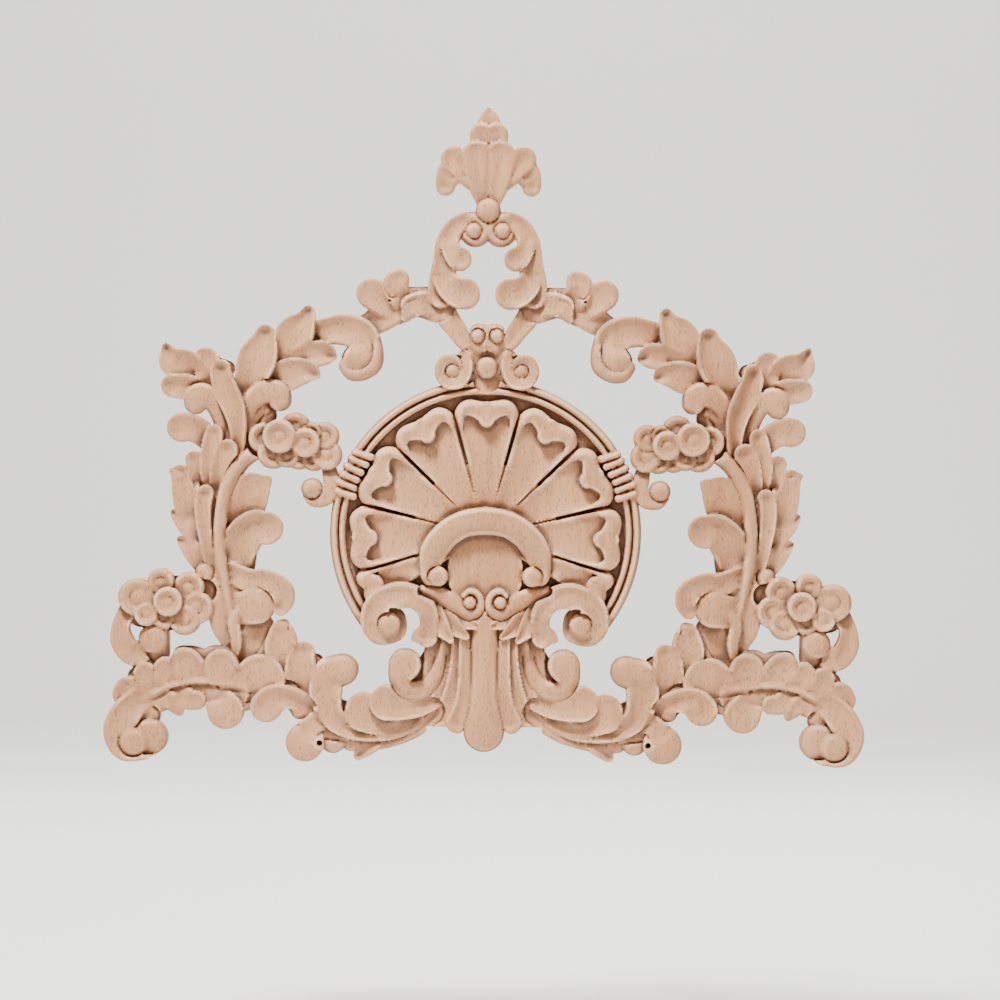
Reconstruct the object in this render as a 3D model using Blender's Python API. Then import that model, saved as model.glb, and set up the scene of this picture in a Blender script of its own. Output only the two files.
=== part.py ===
"""Carved wooden crest applique: one pierced board with a flat back and a face carved in relief.

The face is laid out over one half of the board, in millimetres: x outward from the middle line,
z up from the centre of the shell's ring. The other half mirrors it. Every leaf, scroll and berry
is a stroke: a line with a half-width and a height along it, and a hollow or rounded section. The
strokes are laid one over the other, from the back to the front, as a carver leaves them.
"""
import math

import bmesh
import bpy
import numpy as np
from mathutils import Vector

# Driving dimensions, in millimetres
MM = 0.001
CELL = 1.25
REACH_X = 230.0
BOTTOM_Z = -137.5
TOP_Z = 262.5
THIN_EDGE = 4.0
PINCH_GAP = 0.25
RING_CENTRE = (0.0, 1.5)
RING_RADIUS = 95.1
SHELL_CENTRE = (0.0, 3.0)
GROUND = 6.5
FOOT_Z = -112.3
FOOT_X = (22.5, 35.0)

# The shell's flutes: the turn from one to the next in degrees, the narrow lowest one, and the rim of
# each as rows of (degrees off its axis, radius, half-width, height)
PETAL_PITCH = 30.6
PETAL_AXES = [90 - PETAL_PITCH * i for i in range(4)]
LOWEST_AXIS = -24.6
LOWEST_PINCH = 0.52
LIP = ((14.4, 44, 0.6, 11.0), (14.3, 55, 1.1, 12.0), (14.1, 64, 1.7, 13.0), (13.6, 70, 2.5, 14.2),
       (12.2, 74.6, 3.5, 14.9), (8.8, 77.3, 4.7, 15.2), (4.6, 75.8, 5.3, 15.4), (0, 73.4, 6.1, 15.6))

# Facets of the carved face alone, and of the whole board
FACE_FACETS = 5800
FACETS = 9700

strokes = []


# Strokes

def smooth_path(rows, steps):
    """Rows of (x, z, half-width, height), filled in with a smooth curve through them all."""
    rows = np.array(rows, dtype=float)
    ends = np.vstack([2 * rows[0] - rows[1], rows, 2 * rows[-1] - rows[-2]])
    path = []
    for a, b, c, d in zip(ends, ends[1:], ends[2:], ends[3:]):
        for t in np.arange(steps) / steps:
            path.append(0.5 * (2 * b + (c - a) * t + (2 * a - 5 * b + 4 * c - d) * t ** 2
                               + (3 * b - a - 3 * c + d) * t ** 3))
    path.append(rows[-1])
    path = np.array(path)
    path[:, 2] = np.maximum(path[:, 2], 0.3)
    return path


def band(*rows, crown=2.0, power=1.0, tilt=0.0, fall=1.5, inner_fall=None, edge=1.8, root=0.0,
         lean=(0.0, 0.0), steps=8, cut=False):
    """A stroke through rows of (x, z, half-width, height).

    crown rounds the section, or hollows it when negative. tilt raises its left side and lowers
    its right. fall and edge are the depth and width of the rounding along the edge, inner_fall
    the depth on the left side where it differs. root is the share of its length over which it
    grows out of what lies below. lean is a slope across the whole. A cut takes height away.
    """
    strokes.append(dict(path=smooth_path(rows, steps), crown=crown, power=power, tilt=tilt,
                        fall=fall, inner_fall=fall if inner_fall is None else inner_fall,
                        edge=edge, root=root, lean=lean, cut=cut))


def polar(radius, degrees, centre=SHELL_CENTRE):
    angle = math.radians(degrees)
    return centre[0] + radius * math.cos(angle), centre[1] + radius * math.sin(angle)


def scroll(centre, radii, angles, widths, heights, rows_per_turn=14, **section):
    """A spiral stroke round a centre, from the first radius and angle (degrees) to the last."""
    count = max(4, int(abs(angles[1] - angles[0]) / 360 * rows_per_turn) + 1)
    rows = []
    for t in np.linspace(0, 1, count):
        radius = radii[0] + (radii[1] - radii[0]) * t
        angle = angles[0] + (angles[1] - angles[0]) * t
        width = widths[0] + (widths[1] - widths[0]) * t
        height = heights[0] + (heights[1] - heights[0]) * t
        rows.append((*polar(radius, angle, centre), width, height))
    band(*rows, steps=4, **section)


def groove(*points, width=1.2, depth=1.2):
    """A round-bottomed cut along a line, running out at both ends."""
    last = len(points) - 1
    rows = []
    for i, (x, z) in enumerate(points):
        share = 0.45 if i in (0, last) else 1.0
        rows.append((x, z, width * share, depth * share * share))
    band(*rows, crown=0, fall=0, cut=True)


def ball(x, z, radius, height, drop=5.0, power=0.6, **section):
    """A round berry or boss whose rim lies drop below its top."""
    band((x - 0.05, z, radius, height), (x + 0.05, z, radius, height),
         crown=drop, power=power, fall=section.pop("fall", 0.8), steps=1, **section)


def lobe(root, tip, width, bend=0.0, heights=(9, 13, 11), point=0.72, hollow=2.4, tilt=0.0,
         grow=0.35, fall=1.2, **section):
    """A leaf lobe from its root to the very end of its tip, bent to the left by a share of its length."""
    (ax, az), (bx, bz) = root, tip
    length = math.hypot(bx - ax, bz - az)
    ux, uz = (bx - ax) / length, (bz - az) / length
    end = width * point
    cx, cz = bx - ux * end, bz - uz * end
    sway = bend * length
    mx, mz = (ax + cx) / 2 - uz * sway, (az + cz) / 2 + ux * sway
    band((ax, az, width * 0.65, heights[0]), (mx, mz, width, heights[1]), (cx, cz, end, heights[2]),
         crown=-hollow, tilt=tilt, fall=fall, edge=1.3, root=grow, steps=10, **section)


# The shell's flutes and the petals

def flute_sheet(axis, pinch=1.0):
    """The shallow sheet of one flute."""
    rows = ((14, 10.6), (36, 11.4), (52, 11.3), (61.5, 10.6))
    band(*[(*polar(r, axis), (0.2736 * r + 0.5) * pinch, h) for r, h in rows], crown=-1.5, fall=0)


def flute_lip(axis, pinch=1.0):
    """The side rims of one flute, which turn over and droop at its end."""
    lip = [(*polar(r, axis - turn * pinch), w, h) for turn, r, w, h in LIP]
    lip += [(*polar(r, axis + turn * pinch), w, h) for turn, r, w, h in LIP[-2::-1]]
    band(*lip, crown=0.8, tilt=0.6, fall=3.8, inner_fall=0.5, edge=4.6, steps=4)


def petals(*places):
    """Round petals, from the back to the front: (x, z, radius, height, lean in x, lean in z)."""
    for x, z, radius, height, lean_x, lean_z in places:
        ball(x, z, radius, height, 2.6, 0.45, lean=(lean_x, lean_z), fall=0.7, edge=1.1)


# The carving, from the ground up

def sunk_disc():
    """The sunk ground of the shell and the two mouldings of its ring."""
    for radius in (0, 14, 28, 42, 56, 70, 82):
        scroll(RING_CENTRE, (radius, radius - 1.5), (96, -14 - radius / 5), (10, 10),
               (GROUND, GROUND), crown=0, fall=0)
    for x in (0, 12, 24, 31):
        band((x, -10, 10, GROUND), (x, -40, 10, GROUND), crown=0, fall=0)
    for inset, width, height in ((2.4, 2.5, 12.5), (7.1, 2.1, 12.0)):
        moulding = []
        for angle in range(96, -47, -4):
            drawn_in = 3.5 * min(1.0, max(0.0, (40 - angle) / 76))
            moulding.append((*polar(RING_RADIUS - inset - drawn_in, angle, RING_CENTRE), width, height))
        band(*moulding, crown=2.2, fall=0.8, steps=4)


def shell():
    """Nine flutes that spread from the middle, with a deep line between each two."""
    flute_sheet(LOWEST_AXIS, LOWEST_PINCH)
    flute_lip(LOWEST_AXIS, LOWEST_PINCH)
    for axis in PETAL_AXES:
        flute_sheet(axis)
    for axis in PETAL_AXES:
        flute_lip(axis)
        droop = [(*polar(r, axis), w, h)
                 for r, w, h in ((75, 5.2, 15.4), (71.5, 5.5, 15.9), (69.4, 4.8, 16.2))]
        band(*droop, crown=0.6, fall=0.5, edge=1.6, root=0.7)
    for axis in PETAL_AXES:
        side = axis - PETAL_PITCH / 2
        groove(polar(17, side), polar(45, side), polar(66, side), polar(77, side), width=1.25, depth=3.2)


def arm():
    """The C-scroll from the spray, rolled under at its inner end, and the leafy branch to the crest."""
    ball(76.5, 107, 10.8, 13, 1.0)
    band((108, 118, 9, 11), (98, 124, 8.0, 13.5), (86, 125.6, 9.3, 15), (75.6, 121.8, 9.9, 16),
         (72.6, 112.4, 9.0, 16.5), crown=-2.8, fall=1.4, edge=2.0)
    band((67.4, 121, 3.2, 15), (66.2, 113.6, 3.8, 16), (67.6, 105, 4.7, 16.5), (73.8, 99.7, 4.3, 16.5),
         (80.8, 99.7, 4.7, 16.5), (84.0, 103.8, 4.9, 16), crown=1.4, fall=0.9, edge=1.4, root=0.15)
    band((78, 123, 6.5, 12.6), (75.4, 116, 7.2, 14.5), (76.6, 110.4, 8.0, 16.4), (78.4, 108.4, 7.6, 17),
         crown=1.4, power=0.7, fall=0.6, root=0.5)

    band((30, 141, 10.6, 11), (42, 142.6, 9.0, 12), (53, 140.6, 9.8, 12), (63, 133.6, 8.6, 12),
         (73, 127.8, 6.8, 12), (82, 127, 7.2, 13), crown=-1.2, fall=1.0)
    band((54, 136, 7, 12), (63, 142.4, 8.4, 13.5), (69.4, 147.4, 9.3, 14.5), crown=-1.8, root=0.35)
    band((46, 140, 7, 12), (53.4, 147, 7.6, 14.2), (55.2, 152.8, 7.6, 15), (53.2, 156, 6.0, 15),
         crown=-1.6, root=0.35)
    band((30, 141, 8, 12), (39, 141.6, 7.4, 14), (45.4, 140.2, 6.7, 15.2), crown=-1.4, root=0.4)
    band((40, 141, 4, 13), (46, 138.0, 4.8, 14.6), (49.2, 133.0, 2.6, 14.4), crown=-0.8, root=0.3)
    groove((52, 146), (58, 145), (61.4, 149), (62.2, 155.4), width=0.9, depth=1.4)
    band((58.5, 143.2, 1.3, 8), (58.7, 143.2, 1.3, 8), crown=0, fall=0, cut=True)


def spray():
    """Leaves that fan out over the shoulder from the split end of the stem, the back ones first."""
    band((157, 40, 10, 10), (151.5, 70, 11.5, 10.5), (160, 92, 9, 11), crown=1.0)
    band((150, 60, 8, 10), (138, 86, 9, 10), (120, 104, 10, 10), (108, 114, 9, 10), crown=0.5)
    band((144, 62, 7, 8), (132.5, 74, 6.4, 7), crown=0)
    band((129, 97, 4, 11), (121.5, 110, 8.6, 14), (115.8, 121.4, 11.3, 15), (110.2, 129.2, 6.9, 14.4),
         (107.3, 136, 3.7, 13), crown=-2.6, tilt=0.8, fall=0.8, edge=1.2, root=0.25)
    band((119, 106, 3, 11), (109, 110, 7.2, 14), (100, 111.2, 7.6, 14.6), (96.2, 111, 5.3, 13.8),
         (92.8, 109.6, 2.4, 13), crown=-1.7, tilt=-0.3, fall=0.8, edge=1.2, root=0.25)
    band((133, 95, 4, 11), (122, 97.4, 9.2, 14), (113, 99.9, 8.2, 15), (106, 100.2, 5.2, 14),
         (102.8, 98.4, 2.6, 13), crown=-1.7, tilt=-0.3, fall=0.8, edge=1.2, root=0.25)
    band((145, 83, 5, 11), (141.6, 96, 9.4, 14.5), (137.8, 106.8, 11.6, 15.5), (134.2, 115.8, 8.5, 14.6),
         (132.9, 122.4, 5.7, 13.6), crown=-3.0, tilt=1.0, fall=0.8, edge=1.2, root=0.2)
    band((144, 64, 5, 8.5), (140, 74, 5.5, 10), (135, 78.6, 4.6, 11), (132.4, 77.4, 3.4, 11), crown=1.0,
         root=0.2)
    band((144.6, 70, 4, 11), (141.4, 81, 5.8, 13.5), (133.6, 87.8, 7.2, 15), (126, 87.2, 7.6, 15.4),
         (124.2, 83.2, 6.8, 15), crown=1.6, power=0.7, root=0.2)
    band((167, 57.2, 5.6, 10), (172, 63.4, 7.6, 12), (178.6, 66.2, 8.3, 13), (183, 65.9, 8.6, 13),
         crown=-1.6, tilt=0.8, fall=0.9, root=0.35)
    band((156, 102, 4.5, 9), (164, 104, 5, 9), (170, 104, 5, 9), crown=0)
    band((166, 88, 3, 10), (168.4, 98, 6.0, 13), (168.6, 105.6, 8.3, 13.6), crown=-2.0, tilt=0.8,
         fall=0.8, root=0.3)
    band((170, 94, 4, 10), (179, 102.6, 8.6, 13), (187.6, 104.8, 8.6, 13.6), (191, 110.4, 4.8, 13),
         (192.6, 114.4, 2.2, 12), crown=-2.4, tilt=0.8, fall=0.8, root=0.25)
    band((171, 91, 4, 11), (180, 90.4, 7.4, 14), (188.2, 90.9, 7.0, 14), crown=-1.8, tilt=0.8, fall=0.8,
         root=0.3)
    band((157, 60, 3.6, 10), (160, 70, 4.0, 12), (164, 79.4, 4.8, 13.5), (168.4, 84.4, 7.2, 14.5),
         (173.4, 84.4, 7.9, 15), (174.8, 80.8, 6.6, 14.5), crown=1.4, power=0.7, fall=0.9, root=0.15)
    band((149.5, 48, 3.8, 12), (149, 60, 4.6, 14), (149.7, 70, 5.9, 15), (152.0, 79, 7.0, 15.5),
         (156.3, 88, 7.4, 15.5), (159.3, 97, 6.5, 15), (159.3, 101.4, 5.3, 14.5), crown=-3.0, tilt=0.8,
         fall=0.8, edge=1.2)


def stem():
    """The stem from the bottom leaf to the spray, with its hooked leaves and the ladder outside it."""
    band((136, -66, 9, 7), (137, -56, 9, 7), crown=0, fall=0.5)
    band((134, -60, 6, 7), (132, -51.6, 5, 8), crown=0, fall=0.5)
    band((150, -50, 11, 9), (153, -20, 13, 10), (158, 10, 11, 10), (160, 34, 9, 10), crown=1.5)
    band((150, -28, 9, 10), (147, -10, 9.5, 10), (147, 8, 9, 10), crown=0.5)
    band((151, -72, 7, 8), (147, -62, 8, 9), (150, -46, 8, 10), crown=-1.0)
    band((155.4, -61, 3.4, 9), (159.4, -47.8, 6.1, 11), (163, -30, 6, 11.5), crown=0.5)
    band((150, -76, 6, 8), (142, -64, 7.5, 8.5), (137, -54, 7.6, 9.5), crown=-2.0)
    band((150, -70, 5, 9.5), (147, -58, 5, 11.5), (148.4, -50, 4.4, 11.8), crown=1.2, root=0.2)
    band((152, -43, 9, 11), (143.4, -41, 9.8, 13.5), (134.8, -40.3, 9.6, 15), crown=2.0, power=0.6, root=0.5)
    band((153, -21, 6.5, 11), (142, -25.2, 6.6, 14), (131.5, -26.2, 6.9, 15.4), (122.8, -31.0, 7.3, 16),
         (120.4, -37.6, 5.6, 15.6), (122.4, -42.0, 4.4, 14.6), crown=2.6, power=0.7, root=0.12)
    band((152, -18, 9, 10.5), (147, -3, 11.4, 14), (139.5, 6.4, 9.8, 15), (131.7, 5.9, 10.0, 15),
         crown=-2.2, tilt=0.8, fall=0.9, root=0.3)
    band((152, 2, 8, 11), (144, 18, 10.7, 14), (140.9, 28.4, 10.8, 14.6), crown=-2.2, fall=0.8, root=0.3)
    lobe((142, 27), (129.4, 36.4), 6.4, heights=(12.5, 14, 14), point=0.4, hollow=0.8)

    band((120, -82, 8, 12), (122, -67, 9.8, 14.2), (121.8, -59.5, 8.3, 14.2), (122.6, -54.4, 5.4, 13.6),
         crown=-2.0, tilt=0.6, fall=0.9, root=0.2)
    band((123, -57, 6, 13), (120.6, -51.6, 3.0, 13.4), crown=-0.6, root=0.4)
    band((101, -84, 6, 9), (101.5, -74, 5, 9), crown=0.5)
    band((111, -98, 8, 11), (110.4, -82, 9.4, 14), (110.0, -72, 8.6, 14.4), (108.4, -67.6, 5.8, 13.6),
         crown=-2.2, tilt=0.6, fall=0.9, root=0.2)

    band((169, -20, 3.5, 9), (173.5, -12, 5.6, 11), (177.6, -5.4, 5.4, 11.6), (181.6, -2.2, 3.4, 11),
         (183.6, -0.9, 1.5, 10.5), crown=-1.8, tilt=0.7, fall=0.8, root=0.2)
    ball(168.3, -21, 6.0, 12, 3)
    band((170, -6, 3.5, 9), (175.3, 2.7, 5.7, 11.6), (180.6, 9.8, 6.0, 12), (185.6, 14, 3.3, 11.4),
         (187.4, 15.6, 1.4, 11), crown=-1.8, tilt=0.7, fall=0.8, root=0.2)
    band((177, 6, 4, 9), (180, 20, 7.0, 12.5), (180.5, 32, 7.9, 13), (182.8, 37.6, 6.1, 12.6), crown=-2.2,
         tilt=0.7, fall=0.8, root=0.2)
    band((182, 34, 3.6, 12.2), (188.1, 39.8, 2.0, 12.2), crown=-0.6, root=0.4)
    band((171, 30, 3, 9), (174, 40, 5.2, 12), (175.2, 46.6, 5.3, 12.4), crown=-1.8, tilt=0.6, fall=0.8,
         root=0.2)
    band((166, 28, 3, 10), (167, 40, 4.6, 13.5), (166, 50, 5.5, 14), (164, 58.4, 6.0, 14),
         (163.3, 62.4, 5.4, 13.6), crown=-2.0, tilt=0.7, fall=0.8, root=0.2)
    band((163, 26, 3, 10), (160.6, 38, 5.2, 14), (157.2, 47, 7.1, 15), (155.5, 52.2, 6.7, 14.8),
         crown=-2.2, tilt=0.7, fall=0.8, root=0.2)
    band((164, -22, 2.4, 10), (167, -6, 3.8, 13), (169.3, 10, 4.7, 14), (169.4, 20, 5.1, 14.4),
         (168.2, 26.6, 5.1, 14.2), crown=-1.8, fall=0.8, root=0.15)

    band((131, 54, 4.0, 11), (138, 52.2, 4.7, 13), (146.5, 45.6, 4.7, 14.6), (153, 35.6, 4.5, 15.5),
         (157, 24, 4.2, 16), (159.4, 5, 3.8, 16), (158.8, -12, 3.6, 15.5), (156, -28, 3.2, 14), crown=2.2,
         fall=1.0)


def ties():
    """The curl of a thin stem and the short bars that lash it to the ring."""
    band((95, 44, 4.0, 10), (93.2, 37, 4.8, 12), (92.8, 30, 4.8, 13), (96.6, 24.4, 4.8, 13.5),
         (103, 23.0, 4.0, 13.5), (106.6, 26.4, 3.3, 13.5), crown=-0.6, fall=1.4)
    ball(104.4, 30.0, 6.4, 15.5, 4.0)
    for (ax, az), (bx, bz) in (
            ((69, 49.0), (78.5, 51.7)), ((72, 44.5), (80.8, 48.2)), ((75, 39.8), (83.5, 43.6)),
            ((77.5, 35.2), (85.8, 38.9)), ((79, 30.4), (88, 34.0)), ((79.5, 25.6), (89, 28.6))):
        band((ax, az, 2.35, 14), (bx, bz, 2.45, 14.5), crown=2.0, fall=0.8)


def flowers():
    """Two bunches of round petals, and the curled stem of the outer one."""
    band((98, 51, 9, 8), (116, 56, 12, 8), (134, 58, 10, 8), crown=0)
    petals((134, 60, 9.0, 12.5, 0.6, 0.6), (128, 50.8, 9.2, 13, 0.4, -0.5),
           (112.5, 49, 7.8, 12.5, 0, -0.5), (103.5, 48, 7.6, 12.5, 0, -0.5),
           (95.8, 50.4, 9.2, 14, -0.5, -0.3), (96.8, 61.6, 8.4, 14, -0.5, 0.5),
           (114.5, 66.8, 8.9, 14, 0, 0.7), (119.5, 49.5, 7.2, 13, 0, -0.5),
           (105, 63.5, 6.5, 13.5, 0, 0.5), (108.5, 57.5, 8.8, 16, -0.5, 0.4),
           (124, 61.2, 10.1, 17, -0.5, 0.4))

    band((168, -32, 7, 8), (186, -34, 11, 8), (202, -38, 11, 8), crown=0)
    band((172, -46, 6, 8), (190, -48, 8, 8), (206.8, -46.8, 7.3, 8), crown=0)
    petals((177.6, -29.8, 9.2, 13, -0.4, 0.6), (172.6, -42, 9.6, 13.5, -0.8, 0),
           (180, -49.5, 9.2, 14, -0.3, -0.6), (193, -47.6, 7.4, 13.5, 0, -0.6),
           (208.5, -36.0, 11.3, 14, 0.8, 0), (203, -46.2, 7.2, 15, 0.3, -0.5),
           (194.4, -26.4, 7.9, 14.5, 0, 0.8), (190, -38.5, 8.8, 17, -0.4, 0.3))
    band((196.2, -54, 6.7, 10), (195.8, -69, 6.6, 10), crown=0.5)
    band((213.2, -42, 5.6, 11), (218.3, -53, 5.2, 12), (217.6, -62.5, 6.7, 13.5), (211.3, -70.0, 6.9, 14),
         (202, -66.5, 7, 13), crown=-1.6, fall=1.8, edge=2.0)
    ball(198.8, -60.8, 8.7, 16, 4.5)
    band((198, -69, 6, 10), (207.5, -74, 5.5, 10), crown=0.5)


def bottom_leaf():
    """A broad leaf with scalloped lobes above and below its midrib."""
    band((118, -93, 8, 9), (141, -90, 8.4, 10), (165, -86, 12, 10), (190, -92, 11, 10),
         (208, -102, 9, 11), crown=1.0)
    band((157, -69.6, 4.8, 9.5), (163, -69.6, 4.8, 9.5), (168, -71.6, 4.6, 9.5), (175, -70, 4.9, 9.5),
         (182, -69.8, 4.8, 9.5), crown=0)
    ball(207.6, -84, 6.6, 10, 1.0)
    for rows in (((202, -99, 6, 11), (208, -94.6, 8, 12), (212.8, -91.6, 8.2, 12.6),
                  (215.4, -94.2, 7.5, 12)),
                 ((194, -94, 5, 11), (199, -87.6, 6.4, 12.2), (203.4, -82.2, 7.2, 12.6)),
                 ((184, -92, 5, 11), (188, -84.6, 6.2, 12.4), (191.4, -78.6, 7.0, 12.8)),
                 ((166, -92, 6, 11), (172, -82.6, 8, 12.6), (177.6, -76.0, 8.9, 13),
                  (180.6, -73.6, 7.6, 12.6)),
                 ((148, -92, 7, 11), (153.6, -82.6, 8.8, 12.8), (157.8, -77.2, 10.4, 13.2)),
                 ((144, -94, 10, 11), (138, -87.5, 13.5, 12.6), (134.6, -85.2, 15.4, 13.4))):
        band(*rows, crown=-1.7, tilt=0.5, fall=0.9, edge=1.2, root=0.45)
    for rows in (((196, -94, 6, 11), (189, -97.6, 5.3, 12), (185.2, -101.6, 4.1, 11.6),
                  (182.8, -104.8, 2.4, 11)),
                 ((184, -91, 6, 11), (178, -96.8, 6.2, 12), (172.4, -97.8, 5.6, 11.6)),
                 ((152, -88, 7, 11), (147, -93, 6.2, 11.5), (146.4, -95.8, 4.0, 11))):
        band(*rows, crown=-1.4, tilt=-0.6, fall=0.9, edge=1.2, root=0.4)
    band((160, -96, 8, 11), (154.9, -103.8, 10.9, 13.4), crown=1.5, power=0.6, root=0.5)
    band((140, -90.5, 2.4, 12.4), (155, -87.6, 2.4, 13.4), (170, -85.8, 2.6, 13.8), (186, -88, 2.6, 13.6),
         (198, -93.5, 2.6, 13.4), (207, -100, 2.6, 13.4), crown=1.4, root=0.1)
    groove((134, -94), (148, -92.4), (158, -90.6), (170, -89.2), (184, -91), (196, -96.5), (204, -103),
           width=1.5, depth=2.0)


def foot():
    """Flutes that end in round tips, beside a tongue on the middle line."""
    band((30, -64, 4, 7), (36, -78, 6.5, 7), (44, -86, 7, 7.5), crown=0)
    band((27, -50, 8, 11), (29, -75, 8, 10), (33, -96, 7, 9), (41, -108, 6, 8), crown=-1.5)
    band((19, -48, 7, 12), (21, -72, 6.5, 12), (27, -96, 6, 11), (33, -108, 6, 9.5), crown=-2.0, root=0.1)
    band((14, -48, 6, 13), (15, -72, 5.5, 13.5), (19.5, -92, 5, 12.5), (26, -108.5, 5.5, 10.5), crown=-2.0)
    band((9.5, -48, 6, 14), (10.5, -75, 5, 15), (12, -95, 5, 14), (16.3, -109.8, 6.4, 12), crown=-2.0)
    band((0, -42, 9, 14), (0, -75, 8.2, 16), (0, -98, 8.5, 17), (0, -115, 12.2, 14.5), crown=3.0, fall=1.6)
    groove((3.6, -60), (3.3, -80), (4.3, -97), (7.5, -108), width=1.0, depth=0.9)


def foot_scrolls():
    """The leafy S-scroll with its volute and lobes, the lower hook and the end scroll."""
    band((32, -103, 8.6, 8), (46, -111.0, 9.9, 9), (60, -116.4, 9.3, 9.5), (75, -120.2, 7.9, 9.5), crown=-1.8)
    lobe((60, -116), (77.4, -132.0), 7.4, bend=0.08, heights=(9, 10.5, 9), point=0.42)
    ball(79.6, -121.2, 6.3, 9.2, 1.5)
    ball(90.4, -121.2, 7.6, 11, 2.5)
    band((84, -114, 8, 10), (97, -112, 8, 10), (101, -106, 8, 10), crown=0)
    band((84.4, -103, 5.8, 10.5), (87, -101, 5.0, 11), crown=0, fall=0.4)
    band((34, -100, 6, 9), (46, -110.5, 6, 11), (60, -115.5, 5.5, 12.5), (78, -114.5, 6, 13.5),
         (90.6, -107.0, 7.4, 15), (95.2, -94, 9.5, 16.5), (94.0, -84, 9.6, 17), crown=-2.4, tilt=1.0,
         fall=1.4, edge=1.8)
    band((94.6, -92, 9.0, 15.5), (93.2, -81.8, 10.1, 17.4), (85.1, -78.4, 9.6, 18), crown=1.4, power=0.7,
         fall=1.0, root=0.45)
    band((42, -107, 6, 10), (54, -110.4, 7.4, 11.5), (64, -108.0, 9.4, 13), (72.0, -103.8, 11.7, 13.8),
         crown=-2.0, tilt=0.6, fall=0.9, root=0.3)
    band((28, -95, 6, 10), (40, -99.0, 7.6, 12), (50, -99.2, 9.2, 14), (58.2, -98.0, 10.6, 14.8),
         crown=-2.0, tilt=0.6, fall=0.9, root=0.3)
    band((96, -108, 6.5, 11.5), (102, -111, 6.5, 12.6), (106, -115, 7, 13.2), crown=-0.8, fall=0.8, root=0.3)
    band((105, -117, 8.5, 12.6), (107.2, -122.2, 11.5, 14.4), crown=1.6, power=0.6, fall=0.7, root=0.5)
    band((98.3, -122.5, 1.7, 14), (98.5, -122.5, 1.7, 14), crown=0, fall=0, cut=True)

    band((25.5, -62, 3.4, 10), (27, -75, 4.0, 10.5), (31, -84.5, 4.9, 11), (38.5, -90.2, 5.4, 12.5),
         (47, -89.6, 6.0, 14), (50.7, -83, 6.6, 15.5), (47.7, -75.0, 9.7, 16.5), crown=1.4, power=0.7,
         fall=1.2, edge=1.6, root=0.15)
    groove((33, -89), (40, -93), (48, -92.6), (54, -87), (56, -79), width=0.9, depth=0.9)

    ball(110.6, -103, 5.5, 9, 1.5)
    band((102, -104, 4, 11), (109, -98.5, 6, 13), (118, -95.3, 7.0, 15), (126.5, -96.8, 8.8, 15.5),
         (130.5, -100.8, 9.6, 15), crown=-2.0, fall=0.9, tilt=0.6, root=0.15)

    band((204, -106, 7, 9), (203, -116, 8, 9), crown=0.5)
    ball(200.6, -107, 6.2, 9.5, 1.5)
    band((196, -93, 6, 10), (207, -98, 8, 12), (214.2, -105.4, 9.0, 14), (218.4, -115, 9.4, 16),
         (214.3, -124, 9.8, 16.5), (205, -124, 9.6, 16), crown=-2.0, tilt=0.8, fall=1.4, edge=2.0,
         root=0.22)
    ball(200.4, -119.9, 10.7, 13.6, 2.6)
    ball(210.2, -123, 8.8, 17.5, 3.4)


def arch_and_volutes():
    """The arch over the flat recess, the volutes under it and the leaf tips that hang to the foot."""
    band((0, -2, 20, GROUND + 0.5), (0, -20, 23, GROUND + 0.5), crown=0, fall=0)
    band((-6, 11.4, 8.2, 18.5), (0, 11.5, 8.2, 18.5), (13, 9.4, 8.0, 18.5), (23.4, 3.0, 8.2, 18),
         (30.4, -6.0, 8.2, 17), (33.0, -14, 6.6, 16), (34.2, -21, 4.9, 15), (31.5, -26.3, 3.9, 14),
         crown=4.6, power=0.62, tilt=0.9, fall=0.7)
    ball(28.6, -22.0, 6.3, 17.0, 4.5)

    lobe((34, -55), (44.0, -60.4), 4.6, heights=(12.5, 12.5, 12), point=0.4, hollow=0.6)
    band((34.4, -58.2, 6.4, 13), (33.0, -50, 5.8, 16), (34.6, -42.5, 5.9, 18.5), (39.2, -36.4, 6.6, 19.5),
         (46.5, -33.4, 7.4, 20), (55, -34.4, 8.1, 19.5), (64, -40.2, 8.2, 18), (68, -50, 6.4, 16.5),
         (64.2, -57.6, 5.2, 15.5), (57.5, -59.4, 3.6, 15), (51.2, -56.6, 3.4, 14.5),
         (49.9, -50.8, 3.0, 14), (51.6, -45.4, 3.2, 13.5), (55.5, -42.6, 2.4, 13.5), crown=-2.0, fall=1.6,
         edge=2.4, tilt=-0.8)
    ball(57.5, -50.4, 6.9, 18.0, 3.4)

    band((37, -30.5, 3.5, 12), (28, -33, 4.8, 13), (18.5, -38, 5.6, 13.5), (10, -43.8, 4.8, 14),
         (4.3, -43.0, 3.6, 14.5), (2.7, -37.5, 2.6, 15), (4.6, -32.6, 2.3, 15.2), (9, -30.8, 2.0, 15.2),
         (12.6, -33.4, 1.8, 14.8), crown=1.6, fall=1.0)
    ball(9.0, -37.4, 4.3, 16.5, 3.0)

    lobe((24, -40), (4.8, -60), 6.6, bend=0.10, heights=(12, 15, 15), point=0.35)
    lobe((30, -41), (16.4, -62), 7.0, bend=0.10, heights=(13, 16.5, 16), point=0.4)


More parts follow.
